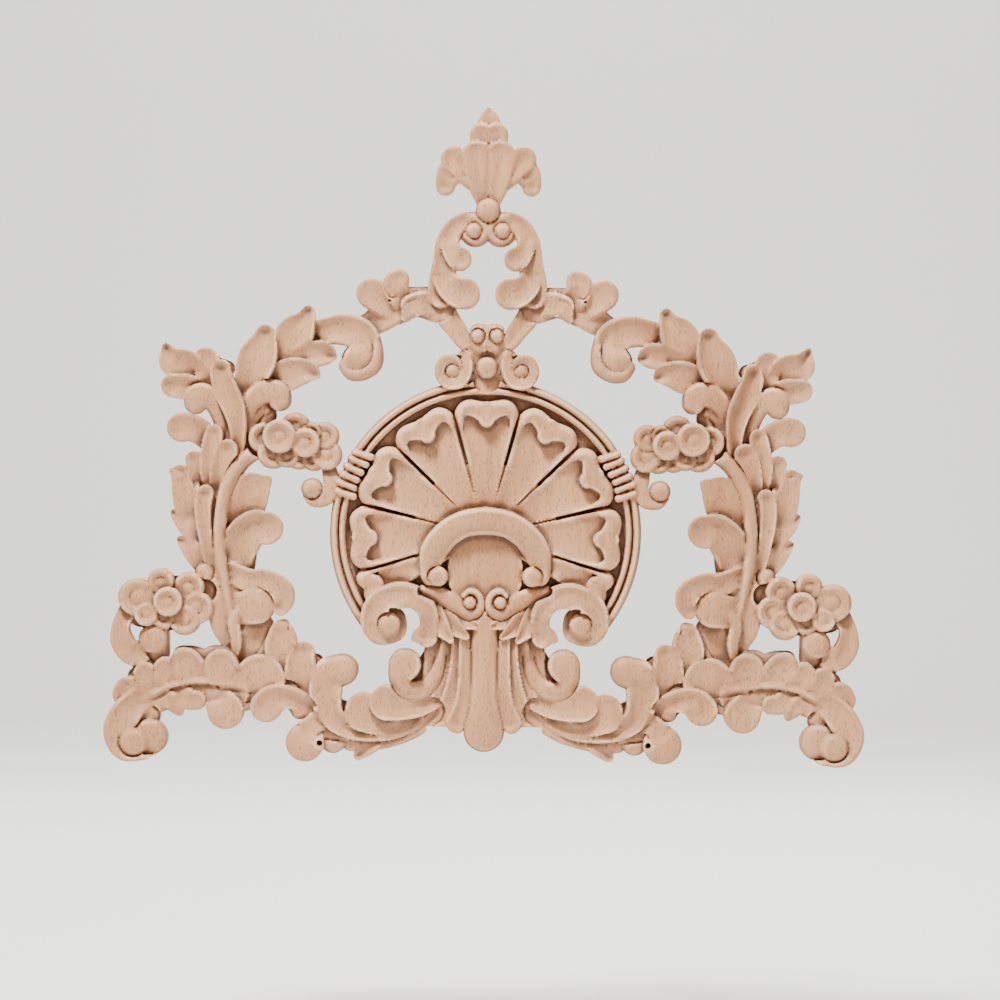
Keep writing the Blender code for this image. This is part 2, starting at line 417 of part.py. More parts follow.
def crest():
    """The open ring of volutes and lobes, and the leaf in tiers over its ball."""
    ball(12, 98, 4.4, 11, 1.0)
    band((14, 107, 3.4, 10), (14.0, 102, 5.0, 11), (17.5, 98, 6.8, 12), (20.6, 100.8, 10.4, 14), crown=-2.0)
    band((0, 103, 8.2, 8), (0, 96, 8.2, 8), crown=0, fall=0.6)
    band((0, 107, 9, 8), (11, 107, 8, 9), crown=0, fall=0.6)
    ball(0, 103.5, 6.6, 15, 4.0)
    band((28.4, 146, 7.6, 12), (24.8, 135, 6.9, 12.5), (18.6, 126.4, 6.0, 13), (13.4, 119.2, 5.2, 13.5),
         (6.5, 115.6, 4.1, 14), crown=-1.4, fall=1.0)
    scroll((5.2, 121.8), (6.4, 5.0), (-90, -300), (3.5, 2.6), (13.5, 14.5), crown=1.2)
    ball(5.6, 122.5, 4.6, 16, 3.0)
    ball(15.4, 185.4, 5.0, 12, 1.0)
    band((9, 191.8, 5.1, 13), (15, 190.8, 5.2, 13.6), (20.6, 186.4, 5.9, 14), (24.6, 177.6, 6.7, 14.5),
         (25.8, 166, 7.2, 14.5), (27.4, 154, 8.0, 14.5), (28.4, 145, 8.2, 13.5), crown=-1.8, fall=1.0)
    band((26.4, 162, 5, 13.5), (24.4, 153.6, 7.4, 15.4), (18.4, 148.2, 8.6, 16.4),
         (13.6, 147.6, 9.1, 16.4), crown=-2.2, tilt=-0.6, fall=0.9, root=0.25)
    band((23, 184, 4.6, 13.5), (22.6, 176, 5.6, 15.4), (19.6, 169.6, 6.2, 16.4), (16.7, 168.5, 6.9, 16.2),
         crown=-1.8, tilt=-0.6, fall=0.9, root=0.25)
    scroll((8.3, 185.6), (5.6, 7.8), (-40, -330), (3.4, 4.2), (14, 13.4), crown=1.4)
    ball(8.5, 185.4, 5.0, 16.5, 3.0)

    band((0, 236, 6, 12), (0, 246.4, 7.2, 13.2), (0.6, 252.4, 5.0, 13), (0, 257, 2.2, 12), crown=-1.0,
         fall=1.2)
    band((0, 222, 6, 13), (2.8, 234, 7.6, 14.4), (4.2, 242.7, 7.4, 14.8), crown=-1.2, fall=1.2, root=0.2)
    band((6, 218, 4, 12.5), (15, 221.6, 6.6, 14.4), (22.5, 220.6, 7.7, 14.4), (25.5, 214.8, 6.0, 14),
         (25.9, 212.3, 5.6, 13.5), crown=-1.4, fall=1.2)
    band((4, 210, 4, 12.5), (12.5, 220.6, 7.8, 15), (20.8, 227.8, 7.9, 14.8), crown=-1.4, fall=1.0, tilt=0.6)
    band((0, 203, 6.8, 13), (4.0, 216.4, 9.2, 16), (6.6, 229.7, 9.6, 16.4), crown=-1.6, fall=1.1, root=0.1)
    groove((11.5, 214), (16, 221), (22, 228.5), width=1.0, depth=0.9)
    groove((15, 217.5), (20, 218), (25.5, 216), width=0.9, depth=0.8)
    groove((3.4, 207), (6, 219), (8.6, 231), width=0.9, depth=0.7)
    groove((0, 206), (0, 224), (0, 242), width=1.4, depth=1.2)
    ball(0, 197.6, 7.4, 16.5, 4.0)


def carve():
    """Every stroke in its order, from the ground up."""
    for section in (sunk_disc, shell, arm, spray, stem, ties, flowers, bottom_leaf, foot, foot_scrolls,
                    arch_and_volutes, crest):
        section()


# From strokes to heights

def nearest(path, x, z):
    """For each point: its distance from the stroke over the half-width, side, way along, and row values."""
    ratio = np.full(x.shape, 1e9)
    side = np.zeros(x.shape)
    way = np.zeros(x.shape)
    width = np.ones(x.shape)
    height = np.zeros(x.shape)
    last = len(path) - 1
    for i in range(last):
        ax, az, aw, ah = path[i]
        step = path[i + 1] - path[i]
        length = max(math.hypot(step[0], step[1]), 1e-6)
        ux, uz = step[0] / length, step[1] / length
        along = ((x - ax) * ux + (z - az) * uz) / length
        across = uz * (x - ax) - ux * (z - az)
        square = np.maximum(aw + step[2] * along, 0.2)
        along = np.clip(along + step[2] * across * across / (square * length * length), 0, 1)
        half = aw + step[2] * along
        off = np.hypot(x - ax - step[0] * along, z - az - step[1] * along)
        closer = off / half < ratio
        ratio[closer] = (off / half)[closer]
        side[closer] = ((ux * (z - az) - uz * (x - ax)) / half)[closer]
        way[closer] = ((i + along) / last)[closer]
        width[closer] = half[closer]
        height[closer] = (ah + step[3] * along)[closer]
    return ratio, side, way, width, height


def section_height(s, x, z, ratio, side, width, height):
    """How high a stroke stands at each point under it."""
    inward = (1 - ratio) * width
    body = np.clip(1 - ratio ** 2, 0, 1) ** s["power"]
    lift = height - max(s["crown"], 0) + s["crown"] * body + s["tilt"] * side
    fall = np.where(side > 0, s["inner_fall"], s["fall"])
    lift -= fall * np.clip(1 - inward / s["edge"], 0, 1) ** 2
    centre_x, centre_z = s["path"][0][:2]
    return lift + (s["lean"][0] * (x - centre_x) + s["lean"][1] * (z - centre_z)) / width


def relief(x, z, cell):
    """Height of the carved face at each point, and its distance outside the outline (negative inside)."""
    x = np.abs(x)
    face = np.zeros(x.shape)
    outside = np.full(x.shape, 1e9)
    for s in strokes:
        path = s["path"]
        margin = path[:, 2].max() + 2 * cell
        near = np.nonzero((x > path[:, 0].min() - margin) & (x < path[:, 0].max() + margin)
                          & (z > path[:, 1].min() - margin) & (z < path[:, 1].max() + margin))[0]
        if len(near) == 0:
            continue
        ratio, side, way, width, height = nearest(path, x[near], z[near])
        inward = (1 - ratio) * width
        cover = np.clip(inward / cell + 0.5, 0, 1)
        if s["cut"]:
            face[near] -= cover * height * np.clip(1 - ratio ** 2, 0, 1)
            continue
        lift = section_height(s, x[near], z[near], ratio, side, width, height)
        already = outside[near] < 0.5 * cell
        below = face[near]
        if s["root"] > 0:
            grown = np.clip(way / s["root"], 0, 1)
            grown = grown * grown * (3 - 2 * grown)
            lift = np.where(already, grown * lift + (1 - grown) * np.maximum(below, lift - 1.0), lift)
        cover = np.where(already, cover, inward > -0.75 * cell)
        face[near] = below + cover * (lift - below)
        outside[near] = np.minimum(outside[near], -inward)
    # the foot is sawn off square between its flutes and the scrolls
    sawn = np.where((x > FOOT_X[0]) & (x < FOOT_X[1]), FOOT_Z - z, -1e9)
    return face, np.maximum(outside, sawn)


# The board

def kept_cells(across, up, middle_x, middle_z):
    """Which grid cells lie inside the outline, with cells that would meet at one corner only joined."""
    column = np.floor((middle_x + REACH_X) / CELL).astype(int)
    row = np.floor((middle_z - BOTTOM_Z) / CELL).astype(int)
    keep = np.zeros((across, up), dtype=bool)
    keep[column, row] = relief(middle_x, middle_z, CELL)[1] < 0
    for _ in range(8):
        a, b, c, d = keep[:-1, :-1], keep[1:, :-1], keep[:-1, 1:], keep[1:, 1:]
        rising = a & d & ~b & ~c
        falling = b & c & ~a & ~d
        keep[1:, :-1] |= rising
        keep[:-1, 1:] |= rising
        keep[:-1, :-1] |= falling
        keep[1:, 1:] |= falling
    return keep[column, row]


def slide_to_outline(x, z):
    """Moves points near the outline onto it."""
    probe = 0.05
    for _ in range(3):
        gap = relief(x, z, CELL)[1]
        gx = (relief(x + probe, z, CELL)[1] - relief(x - probe, z, CELL)[1]) / (2 * probe)
        gz = (relief(x, z + probe, CELL)[1] - relief(x, z - probe, CELL)[1]) / (2 * probe)
        slope = np.maximum(gx * gx + gz * gz, 0.3)
        x = x - np.clip(gap * gx / slope, -0.45 * CELL, 0.45 * CELL)
        z = z - np.clip(gap * gz / slope, -0.45 * CELL, 0.45 * CELL)
    return x, z


def carved_sheet():
    """The carved face alone: a grid cut back to the outline, its points lifted to the relief."""
    across = 2 * round(REACH_X / CELL)
    up = round((TOP_Z - BOTTOM_Z) / CELL)
    bm = bmesh.new()
    bmesh.ops.create_grid(bm, x_segments=across, y_segments=up, size=0.5)
    co = np.array([v.co for v in bm.verts])
    x = co[:, 0] * 2 * REACH_X
    z = (co[:, 1] + 0.5) * (TOP_Z - BOTTOM_Z) + BOTTOM_Z
    faces = bm.faces[:]
    corners = np.array([[v.index for v in f.verts] for f in faces])
    keep = kept_cells(across, up, x[corners].mean(axis=1), z[corners].mean(axis=1))
    face = relief(x, z, CELL)[0]
    for vert, vx, vz, height in zip(bm.verts, x, z, face):
        vert.co = (vx, -height, vz)
    bmesh.ops.delete(bm, geom=[f for f, kept in zip(faces, keep) if not kept], context="FACES")

    rim = [v for v in bm.verts if v.is_boundary]
    x, z = slide_to_outline(np.array([v.co.x for v in rim]), np.array([v.co.z for v in rim]))
    for vert, vx, vz, height in zip(rim, x, z, relief(x, z, CELL)[0]):
        vert.co = (vx, -max(height, THIN_EDGE), vz)
    mesh = bpy.data.meshes.new("carved_face")
    bm.to_mesh(mesh)
    bm.free()
    return mesh


def facet(thing, faces):
    """Leaves only as many triangles as given, the same on both sides of the middle."""
    modifier = thing.modifiers.new("facets", "DECIMATE")
    modifier.ratio = faces / sum(len(face.vertices) - 2 for face in thing.data.polygons)
    modifier.use_symmetry = True
    modifier.symmetry_axis = "X"


def faceted(mesh):
    """The carved face in the facets that suit its relief."""
    sheet = bpy.data.objects.new("carved_face", mesh)
    bpy.context.scene.collection.objects.link(sheet)
    facet(sheet, FACE_FACETS)
    thinned = bpy.data.meshes.new_from_object(sheet.evaluated_get(bpy.context.evaluated_depsgraph_get()))
    bpy.data.objects.remove(sheet, do_unlink=True)
    return thinned


def open_pinches(bm):
    """Parts the outline where two stretches of it share one point, and drops the loose chips."""
    bmesh.ops.delete(bm, geom=[e for e in bm.edges if not e.link_faces], context="EDGES")
    for vert in [v for v in bm.verts if sum(e.is_boundary for e in v.link_edges) > 2]:
        for corner in bmesh.utils.vert_separate(vert, [e for e in vert.link_edges if e.is_boundary]):
            inner = [face.calc_center_median() for face in corner.link_faces]
            corner.co = corner.co.lerp(sum(inner, Vector()) / len(inner), PINCH_GAP)
    chips = [face for face in bm.faces if all(len(vert.link_faces) == 1 for vert in face.verts)]
    bmesh.ops.delete(bm, geom=chips, context="FACES")


def board(name, sheet):
    """The sheet with straight walls behind it and a flat back."""
    bm = bmesh.new()
    bm.from_mesh(sheet)
    bmesh.ops.triangulate(bm, faces=bm.faces[:])
    open_pinches(bm)
    extruded = bmesh.ops.extrude_face_region(bm, geom=bm.faces[:], use_keep_orig=True)["geom"]
    for item in extruded:
        if isinstance(item, bmesh.types.BMVert):
            item.co.y = 0.0
    bmesh.ops.recalc_face_normals(bm, faces=bm.faces[:])
    bmesh.ops.scale(bm, vec=(MM, MM, MM), verts=bm.verts[:])
    mesh = bpy.data.meshes.new(name)
    bm.to_mesh(mesh)
    bm.free()
    return mesh


def wood():
    """Pale unfinished hardwood."""
    material = bpy.data.materials.new("pale_wood")
    material.use_nodes = True
    shader = material.node_tree.nodes["Principled BSDF"]
    shader.inputs["Base Color"].default_value = (0.62, 0.46, 0.33, 1)
    shader.inputs["Roughness"].default_value = 0.6
    shader.inputs["Metallic"].default_value = 0.0
    return material


def applique():
    mesh = board("carved_applique", faceted(carved_sheet()))
    mesh.materials.append(wood())
    carving = bpy.data.objects.new("carved_applique", mesh)
    bpy.context.scene.collection.objects.link(carving)
    # the flat back needs few facets, so those go from there
    facet(carving, FACETS)


for old in list(bpy.data.objects):
    bpy.data.objects.remove(old, do_unlink=True)
carve()
applique()
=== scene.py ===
"""A carved crest applique of pale wood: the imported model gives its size, this script its finish."""
import math

import bmesh
import bpy
import numpy as np
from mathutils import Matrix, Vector


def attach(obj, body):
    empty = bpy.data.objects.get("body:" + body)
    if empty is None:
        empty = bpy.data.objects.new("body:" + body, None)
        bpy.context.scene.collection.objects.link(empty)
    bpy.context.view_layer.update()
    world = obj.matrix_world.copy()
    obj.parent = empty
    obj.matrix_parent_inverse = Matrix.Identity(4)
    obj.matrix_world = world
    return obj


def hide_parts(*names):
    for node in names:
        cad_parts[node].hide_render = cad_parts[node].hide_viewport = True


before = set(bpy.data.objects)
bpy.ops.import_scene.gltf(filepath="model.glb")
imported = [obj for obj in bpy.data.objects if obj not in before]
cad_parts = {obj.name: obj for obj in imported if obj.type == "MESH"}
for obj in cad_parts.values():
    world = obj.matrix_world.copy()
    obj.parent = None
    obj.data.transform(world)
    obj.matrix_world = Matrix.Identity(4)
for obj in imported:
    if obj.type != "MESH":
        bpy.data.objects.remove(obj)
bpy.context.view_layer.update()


# The sunk disc and its ringed edge
# The board is glued up from staves of pale wood and carved on its front. Behind the shell it is
# sunk to a flat ground, with two round mouldings left standing as a ring.
RING_CENTRE = (0.0, 1.5)
RING_RADIUS = 95.1
SHELL_CENTRE = (0.0, 3.0)
GROUND = 6.5
THINNEST = 0.3

# One half of the face is laid out in millimetres, x outward from the middle, z up from the shell.
# Each shape is a stroke: a line with a half-width and a height, laid over the strokes before it.
strokes = []


def smooth_path(rows, steps):
    """Rows of (x, z, half-width, height), filled in with a smooth curve through them all."""
    rows = np.array(rows, dtype=float)
    ends = np.vstack([2 * rows[0] - rows[1], rows, 2 * rows[-1] - rows[-2]])
    path = []
    for a, b, c, d in zip(ends, ends[1:], ends[2:], ends[3:]):
        for t in np.arange(steps) / steps:
            path.append(0.5 * (2 * b + (c - a) * t + (2 * a - 5 * b + 4 * c - d) * t ** 2
                               + (3 * b - a - 3 * c + d) * t ** 3))
    path.append(rows[-1])
    path = np.array(path)
    path[:, 2] = np.maximum(path[:, 2], THINNEST)
    return path


def band(*rows, crown=2.0, power=1.0, tilt=0.0, fall=1.5, inner_fall=None, edge=1.8, root=0.0,
         veins=(), lean=(0.0, 0.0), steps=12, cut=False):
    """A stroke through rows of (x, z, half-width, height).

    crown rounds the section, or hollows it when negative. tilt raises its left side and lowers
    its right. fall and edge are the depth and width of the rounding along the edge, inner_fall
    the depth on the left side where it differs. root is the share of its length over which it
    grows out of what lies below. veins are fine lines along it, by their place across, and lean
    is a slope across the whole. A cut takes height away.
    """
    strokes.append(dict(path=smooth_path(rows, steps), crown=crown, power=power, tilt=tilt,
                        fall=fall, inner_fall=fall if inner_fall is None else inner_fall,
                        edge=edge, root=root, veins=veins, lean=lean, cut=cut))


def polar(radius, degrees, centre=SHELL_CENTRE):
    angle = math.radians(degrees)
    return centre[0] + radius * math.cos(angle), centre[1] + radius * math.sin(angle)


def scroll(centre, radii, angles, widths, heights, rows_per_turn=14, **section):
    """A spiral stroke round a centre, from the first radius and angle (degrees) to the last."""
    count = max(4, int(abs(angles[1] - angles[0]) / 360 * rows_per_turn) + 1)
    rows = []
    for t in np.linspace(0, 1, count):
        radius = radii[0] + (radii[1] - radii[0]) * t
        angle = angles[0] + (angles[1] - angles[0]) * t
        width = widths[0] + (widths[1] - widths[0]) * t
        height = heights[0] + (heights[1] - heights[0]) * t
        rows.append((*polar(radius, angle, centre), width, height))
    band(*rows, steps=6, **section)


for radius in (0, 14, 28, 42, 56, 70, 82):
    scroll(RING_CENTRE, (radius, radius - 1.5), (96, -14 - radius / 5), (10, 10),
           (GROUND, GROUND), crown=0, fall=0)
for x in (0, 12, 24, 31):
    band((x, -10, 10, GROUND), (x, -40, 10, GROUND), crown=0, fall=0)
for inset, width, height in ((2.4, 2.5, 12.5), (7.1, 2.1, 12.0)):
    moulding = []
    for angle in range(96, -47, -4):
        drawn_in = 3.5 * min(1.0, max(0.0, (40 - angle) / 76))
        moulding.append((*polar(RING_RADIUS - inset - drawn_in, angle, RING_CENTRE), width, height))
    band(*moulding, crown=2.2, fall=0.8, steps=4)


# The shell
# Nine flutes spread from the middle, each a shallow sheet with thin side rims. The rims turn over
# at two bumps and droop between them as a rolled lip, which throws the end of the flute in shadow.
PETAL_PITCH = 30.6
PETAL_AXES = [90 - PETAL_PITCH * i for i in range(4)]
PETAL_SPREAD = 0.2736
LOWEST_AXIS = -24.6
LOWEST_PINCH = 0.52
LIP = ((14.4, 44, 0.6, 11.0), (14.3, 55, 1.1, 12.0), (14.1, 64, 1.7, 13.0), (13.6, 70, 2.5, 14.2),
       (12.2, 74.6, 3.5, 14.9), (8.8, 77.3, 4.7, 15.2), (4.6, 75.8, 5.3, 15.4), (0, 73.4, 6.1, 15.6))


RUN_OUT = 0.45


def groove(*points, width=1.2, depth=1.2):
    """A round-bottomed cut along a line, running out at both ends."""
    last = len(points) - 1
    rows = []
    for i, (x, z) in enumerate(points):
        share = RUN_OUT if i in (0, last) else 1.0
        rows.append((x, z, width * share, depth * share * share))
    band(*rows, crown=0, fall=0, cut=True)


def flute_sheet(axis, pinch=1.0):
    rows = ((14, 10.8), (36, 12.0), (52, 12.3), (61.5, 12.0))
    band(*[(*polar(r, axis), (PETAL_SPREAD * r + 0.5) * pinch, h) for r, h in rows], crown=-1.5, fall=0)


def flute_lip(axis, pinch=1.0):
    lip = [(*polar(r, axis - turn * pinch), w, h) for turn, r, w, h in LIP]
    lip += [(*polar(r, axis + turn * pinch), w, h) for turn, r, w, h in LIP[-2::-1]]
    band(*lip, crown=0.8, tilt=0.6, fall=3.8, inner_fall=0.5, edge=4.6, steps=8)


flute_sheet(LOWEST_AXIS, LOWEST_PINCH)
flute_lip(LOWEST_AXIS, LOWEST_PINCH)
for axis in PETAL_AXES:
    flute_sheet(axis)
for axis in PETAL_AXES:
    flute_lip(axis)
    droop = [(*polar(r, axis), w, h)
             for r, w, h in ((75, 5.2, 15.4), (71.5, 5.5, 15.9), (69.4, 4.8, 16.2))]
    band(*droop, crown=0.6, fall=0.5, edge=1.6, root=0.7)
for axis in PETAL_AXES:
    side = axis - PETAL_PITCH / 2
    groove(polar(17, side), polar(45, side), polar(66, side), polar(77, side), width=1.25, depth=2.3)


# The arm from the crest to the spray
# A C-scroll, channelled along its face and rolled under at its inner end, with a short leafy
# branch that carries it over to the crest.
def ball(x, z, radius, height, drop=5.0, power=0.6, **section):
    """A round berry or boss whose rim lies drop below its top."""
    band((x - 0.05, z, radius, height), (x + 0.05, z, radius, height),
         crown=drop, power=power, fall=section.pop("fall", 0.8), steps=1, **section)


band((28.4, 146, 7.6, 12), (24.8, 135, 6.9, 12.5), (18.6, 126.4, 6.0, 13), (13.4, 119.2, 5.2, 13.5),
     (6.5, 115.6, 4.1, 14), crown=-1.4, fall=1.0, veins=(0.1,))
band((30, 141, 10.6, 11), (42, 142.6, 9.0, 12), (53, 140.6, 9.8, 12), (63, 133.6, 8.6, 12),
     (73, 127.8, 6.8, 12), (82, 127, 7.2, 13), crown=-1.2, fall=1.0)
band((54, 136, 7, 12), (63, 142.4, 8.4, 13.5), (69.4, 147.4, 9.3, 14.5), crown=-1.8, root=0.35)
band((46, 140, 7, 12), (53.4, 147, 7.6, 14.2), (55.2, 152.8, 7.6, 15), (53.2, 156, 6.0, 15), crown=-1.6,
     root=0.35)
band((30, 141, 8, 12), (39, 141.6, 7.4, 14), (45.4, 140.2, 6.7, 15.2), crown=-1.4, root=0.4)
band((40, 141, 4, 13), (46, 138.0, 4.8, 14.6), (49.2, 133.0, 2.6, 14.4), crown=-0.8, root=0.3)
groove((52, 146), (58, 145), (61.4, 149), (62.2, 155.4), width=0.9, depth=1.4)
band((58.5, 143.2, 0.9, 8), (58.7, 143.2, 0.9, 8), crown=0, fall=0, cut=True)

ball(76.5, 107, 10.8, 13, 1.0)
band((108, 118, 9, 11), (98, 124, 8.0, 13.5), (86, 125.6, 9.3, 15), (75.6, 121.8, 9.9, 16),
     (72.6, 112.4, 9.0, 16.5), crown=-2.8, fall=1.4, edge=2.0)
band((67.4, 121, 3.2, 15), (66.2, 113.6, 3.8, 16), (67.6, 105, 4.7, 16.5), (73.8, 99.7, 4.3, 16.5),
     (80.8, 99.7, 4.7, 16.5), (84.0, 103.8, 4.9, 16), crown=1.4, fall=0.9, edge=1.4, root=0.15)
band((78, 123, 6.5, 12.6), (75.4, 116, 7.2, 14.5), (76.6, 110.4, 8.0, 16.4), (78.4, 108.4, 7.6, 17),
     crown=1.4, power=0.7, fall=0.6, root=0.5)


# The spray of leaves at the outer shoulder
# Leaves fan out over the shoulder from the split end of the stem, the back ones first. Each is
# hollowed with a gouge and left with a crisp rim.
band((157, 40, 10, 10), (151.5, 70, 11.5, 10.5), (160, 92, 9, 11), crown=1.0)
band((150, 60, 8, 10), (138, 86, 9, 10), (120, 104, 10, 10), (108, 114, 9, 10), crown=0.5)
band((144, 62, 7, 9.5), (132.5, 74, 6.4, 9.5), crown=0)
band((129, 97, 4, 11), (121.5, 110, 8.6, 14), (115.8, 121.4, 11.3, 15), (110.2, 129.2, 6.9, 14.4),
     (107.3, 136, 3.7, 13), crown=-2.6, tilt=0.8, fall=0.35, edge=0.9, root=0.25, veins=(-0.25, 0.35))
band((119, 106, 3, 11), (109, 110, 7.2, 14), (100, 111.2, 7.6, 14.6), (96.2, 111, 5.3, 13.8),
     (92.8, 109.6, 2.4, 13), crown=-1.7, tilt=-0.3, fall=0.35, edge=0.9, root=0.25, veins=(0.3,))
band((133, 95, 4, 11), (122, 97.4, 9.2, 14), (113, 99.9, 8.2, 15), (106, 100.2, 5.2, 14),
     (102.8, 98.4, 2.6, 13), crown=-1.7, tilt=-0.3, fall=0.35, edge=0.9, root=0.25, veins=(0.3,))
band((145, 83, 5, 11), (141.6, 96, 9.4, 14.5), (137.8, 106.8, 11.6, 15.5), (134.2, 115.8, 8.5, 14.6),
     (132.9, 122.4, 5.7, 13.6), crown=-3.0, tilt=1.0, fall=0.35, edge=0.9, root=0.2, veins=(-0.1, 0.4))
band((144, 64, 5, 8.5), (140, 74, 5.5, 10), (135, 78.6, 4.6, 11), (132.4, 77.4, 3.4, 11), crown=1.0, root=0.2)
band((144.6, 70, 4, 11), (141.4, 81, 5.8, 13.5), (133.6, 87.8, 7.2, 15), (126, 87.2, 7.6, 15.4),
     (124.2, 83.2, 6.8, 15), crown=1.6, power=0.7, root=0.2)
band((167, 57.2, 5.6, 10), (172, 63.4, 7.6, 12), (178.6, 66.2, 8.3, 13), (183, 65.9, 8.6, 13), crown=-1.6,
     tilt=0.8, fall=0.9, root=0.35)
band((156, 102, 4.5, 9), (164, 104, 5, 9), (170, 104, 5, 9), crown=0)
band((166, 88, 3, 10), (168.4, 98, 6.0, 13), (168.6, 105.6, 8.3, 13.6), crown=-2.0, tilt=0.8, fall=0.35,
     root=0.3)
band((170, 94, 4, 10), (179, 102.6, 8.6, 13), (187.6, 104.8, 8.6, 13.6), (191, 110.4, 4.8, 13),
     (192.6, 114.4, 2.2, 12), crown=-2.4, tilt=0.8, fall=0.35, root=0.25, veins=(0.0,))
band((171, 91, 4, 11), (180, 90.4, 7.4, 14), (188.2, 90.9, 7.0, 14), crown=-1.8, tilt=0.8, fall=0.35,
     root=0.3)
band((157, 60, 3.6, 10), (160, 70, 4.0, 12), (164, 79.4, 4.8, 13.5), (168.4, 84.4, 7.2, 14.5),
     (173.4, 84.4, 7.9, 15), (174.8, 80.8, 6.6, 14.5), crown=1.4, power=0.7, fall=0.9, root=0.15)
band((149.5, 48, 3.8, 12), (149, 60, 4.6, 14), (149.7, 70, 5.9, 15), (152.0, 79, 7.0, 15.5),
     (156.3, 88, 7.4, 15.5), (159.3, 97, 6.5, 15), (159.3, 101.4, 5.3, 14.5), crown=-3.0, tilt=0.8,
     fall=0.35, edge=0.9)


# The rising stem
# The stem climbs from the bottom leaf to the spray, with hooked leaves toward the shell and a
# ladder of small leaves and a bud along its outer side.
def lobe(root, tip, width, bend=0.0, heights=(9, 13, 11), point=0.72, hollow=2.4, tilt=0.0,
         grow=0.35, fall=1.2, **section):
    """A leaf lobe from its root to the end of its tip, bent to the left by a share of its length."""
    (ax, az), (bx, bz) = root, tip
    length = math.hypot(bx - ax, bz - az)
    ux, uz = (bx - ax) / length, (bz - az) / length
    end = width * point
    cx, cz = bx - ux * end, bz - uz * end
    sway = bend * length
    mx, mz = (ax + cx) / 2 - uz * sway, (az + cz) / 2 + ux * sway
    band((ax, az, width * 0.65, heights[0]), (mx, mz, width, heights[1]), (cx, cz, end, heights[2]),
         crown=-hollow, tilt=tilt, fall=fall, edge=1.3, root=grow, steps=16, **section)


band((136, -66, 9, 10), (137, -56, 9, 10), crown=0, fall=0.5)
band((134, -60, 6, 10), (132, -51.6, 5, 10), crown=0, fall=0.5)
band((151, -72, 7, 8), (147, -62, 8, 9), (150, -46, 8, 10), crown=-1.0)
band((156, -62, 3.2, 9.5), (156, -50, 9.0, 11), (154.4, -36, 11.6, 12), (153, -20, 13, 12),
     (158, 10, 11, 11), (160, 34, 9, 10), crown=-1.2, fall=1.0)
band((150, -28, 9, 10), (147, -10, 9.5, 10), (147, 8, 9, 10), crown=0.5)
band((150, -76, 6, 8), (142, -64, 7.5, 9.5), (137, -54, 7.6, 10.5), crown=-2.4, root=0.3)
band((151, -74, 2.4, 10), (149, -62, 3.4, 12), (150.5, -50, 3.6, 13), (147, -43, 3.0, 13), crown=1.0,
     fall=0.35, root=0.35)
band((153, -21, 6.5, 12), (142, -25.2, 6.8, 14), (131.5, -26.2, 7.0, 15.6), (122.8, -31.0, 7.3, 16.2),
     (120.4, -37.6, 5.6, 15.6), (122.4, -42.0, 4.4, 14.6), crown=-1.6, tilt=-0.8, fall=0.8, edge=1.4,
     root=0.25)
band((150, -43, 9.2, 11.5), (144, -41.6, 10.2, 13.6), (137.2, -40.6, 11.0, 14.8), crown=1.8, power=0.8,
     fall=0.8, edge=1.4, root=0.6, veins=(-0.35, 0.1))
band((152, 2, 8, 11), (144, 18, 10.7, 13.4), (140.9, 28.4, 10.8, 14.2), crown=-2.4, fall=0.35, root=0.3,
     veins=(-0.1,))
lobe((142, 27), (129.4, 36.4), 6.4, heights=(12.2, 13.4, 14), point=0.4, hollow=0.8, fall=0.4)
band((152, -18, 9, 10.5), (147, -3, 11.4, 14.6), (139.5, 6.4, 9.8, 16), (131.7, 5.9, 10.0, 16), crown=-2.6,
     tilt=-0.6, fall=0.5, edge=1.0, root=0.3, veins=(-0.3,))

band((120, -82, 8, 12), (122, -67, 9.8, 14.2), (121.8, -59.5, 8.3, 14.2), (122.6, -54.4, 5.4, 13.6),
     crown=-2.0, tilt=0.6, fall=0.9, root=0.2, veins=(-0.2, 0.3))
band((123, -57, 6, 13), (120.6, -51.6, 3.0, 13.4), crown=-0.6, root=0.4)
band((101, -84, 6, 9), (101.5, -74, 5, 9), crown=0.5)
band((111, -98, 8, 11), (110.4, -82, 9.4, 14), (110.0, -72, 8.6, 14.4), (108.4, -67.6, 5.8, 13.6),
     crown=-2.2, tilt=0.6, fall=0.9, root=0.2, veins=(0.1,))

band((169, -20, 3.5, 9), (173.5, -12, 5.6, 11), (177.6, -5.4, 5.4, 11.6), (181.6, -2.2, 3.4, 11),
     (183.6, -0.9, 1.5, 10.5), crown=-1.8, tilt=0.7, fall=0.35, root=0.2)
ball(168.3, -21, 6.0, 12, 3)
band((170, -6, 3.5, 9), (175.3, 2.7, 5.7, 11.6), (180.6, 9.8, 6.0, 12), (185.6, 14, 3.3, 11.4),
     (187.4, 15.6, 1.4, 11), crown=-1.8, tilt=0.7, fall=0.35, root=0.2)
band((177, 6, 4, 9), (180, 20, 7.0, 12.5), (180.5, 32, 7.9, 13), (182.8, 37.6, 6.1, 12.6), crown=-2.2,
     tilt=0.7, fall=0.35, root=0.2, veins=(0.0,))
band((182, 34, 3.6, 12.2), (188.1, 39.8, 2.0, 12.2), crown=-0.6, root=0.4)
band((171, 30, 3, 9), (174, 40, 5.2, 12), (175.2, 46.6, 5.3, 12.4), crown=-1.8, tilt=0.6, fall=0.35, root=0.2)
band((166, 28, 3, 10), (167, 40, 4.6, 13.5), (166, 50, 5.5, 14), (164, 58.4, 6.0, 14),
     (163.3, 62.4, 5.4, 13.6), crown=-2.0, tilt=0.7, fall=0.35, root=0.2)
band((163, 26, 3, 10), (160.6, 38, 5.2, 14), (157.2, 47, 7.1, 15), (155.5, 52.2, 6.7, 14.8), crown=-2.2,
     tilt=0.7, fall=0.35, root=0.2)
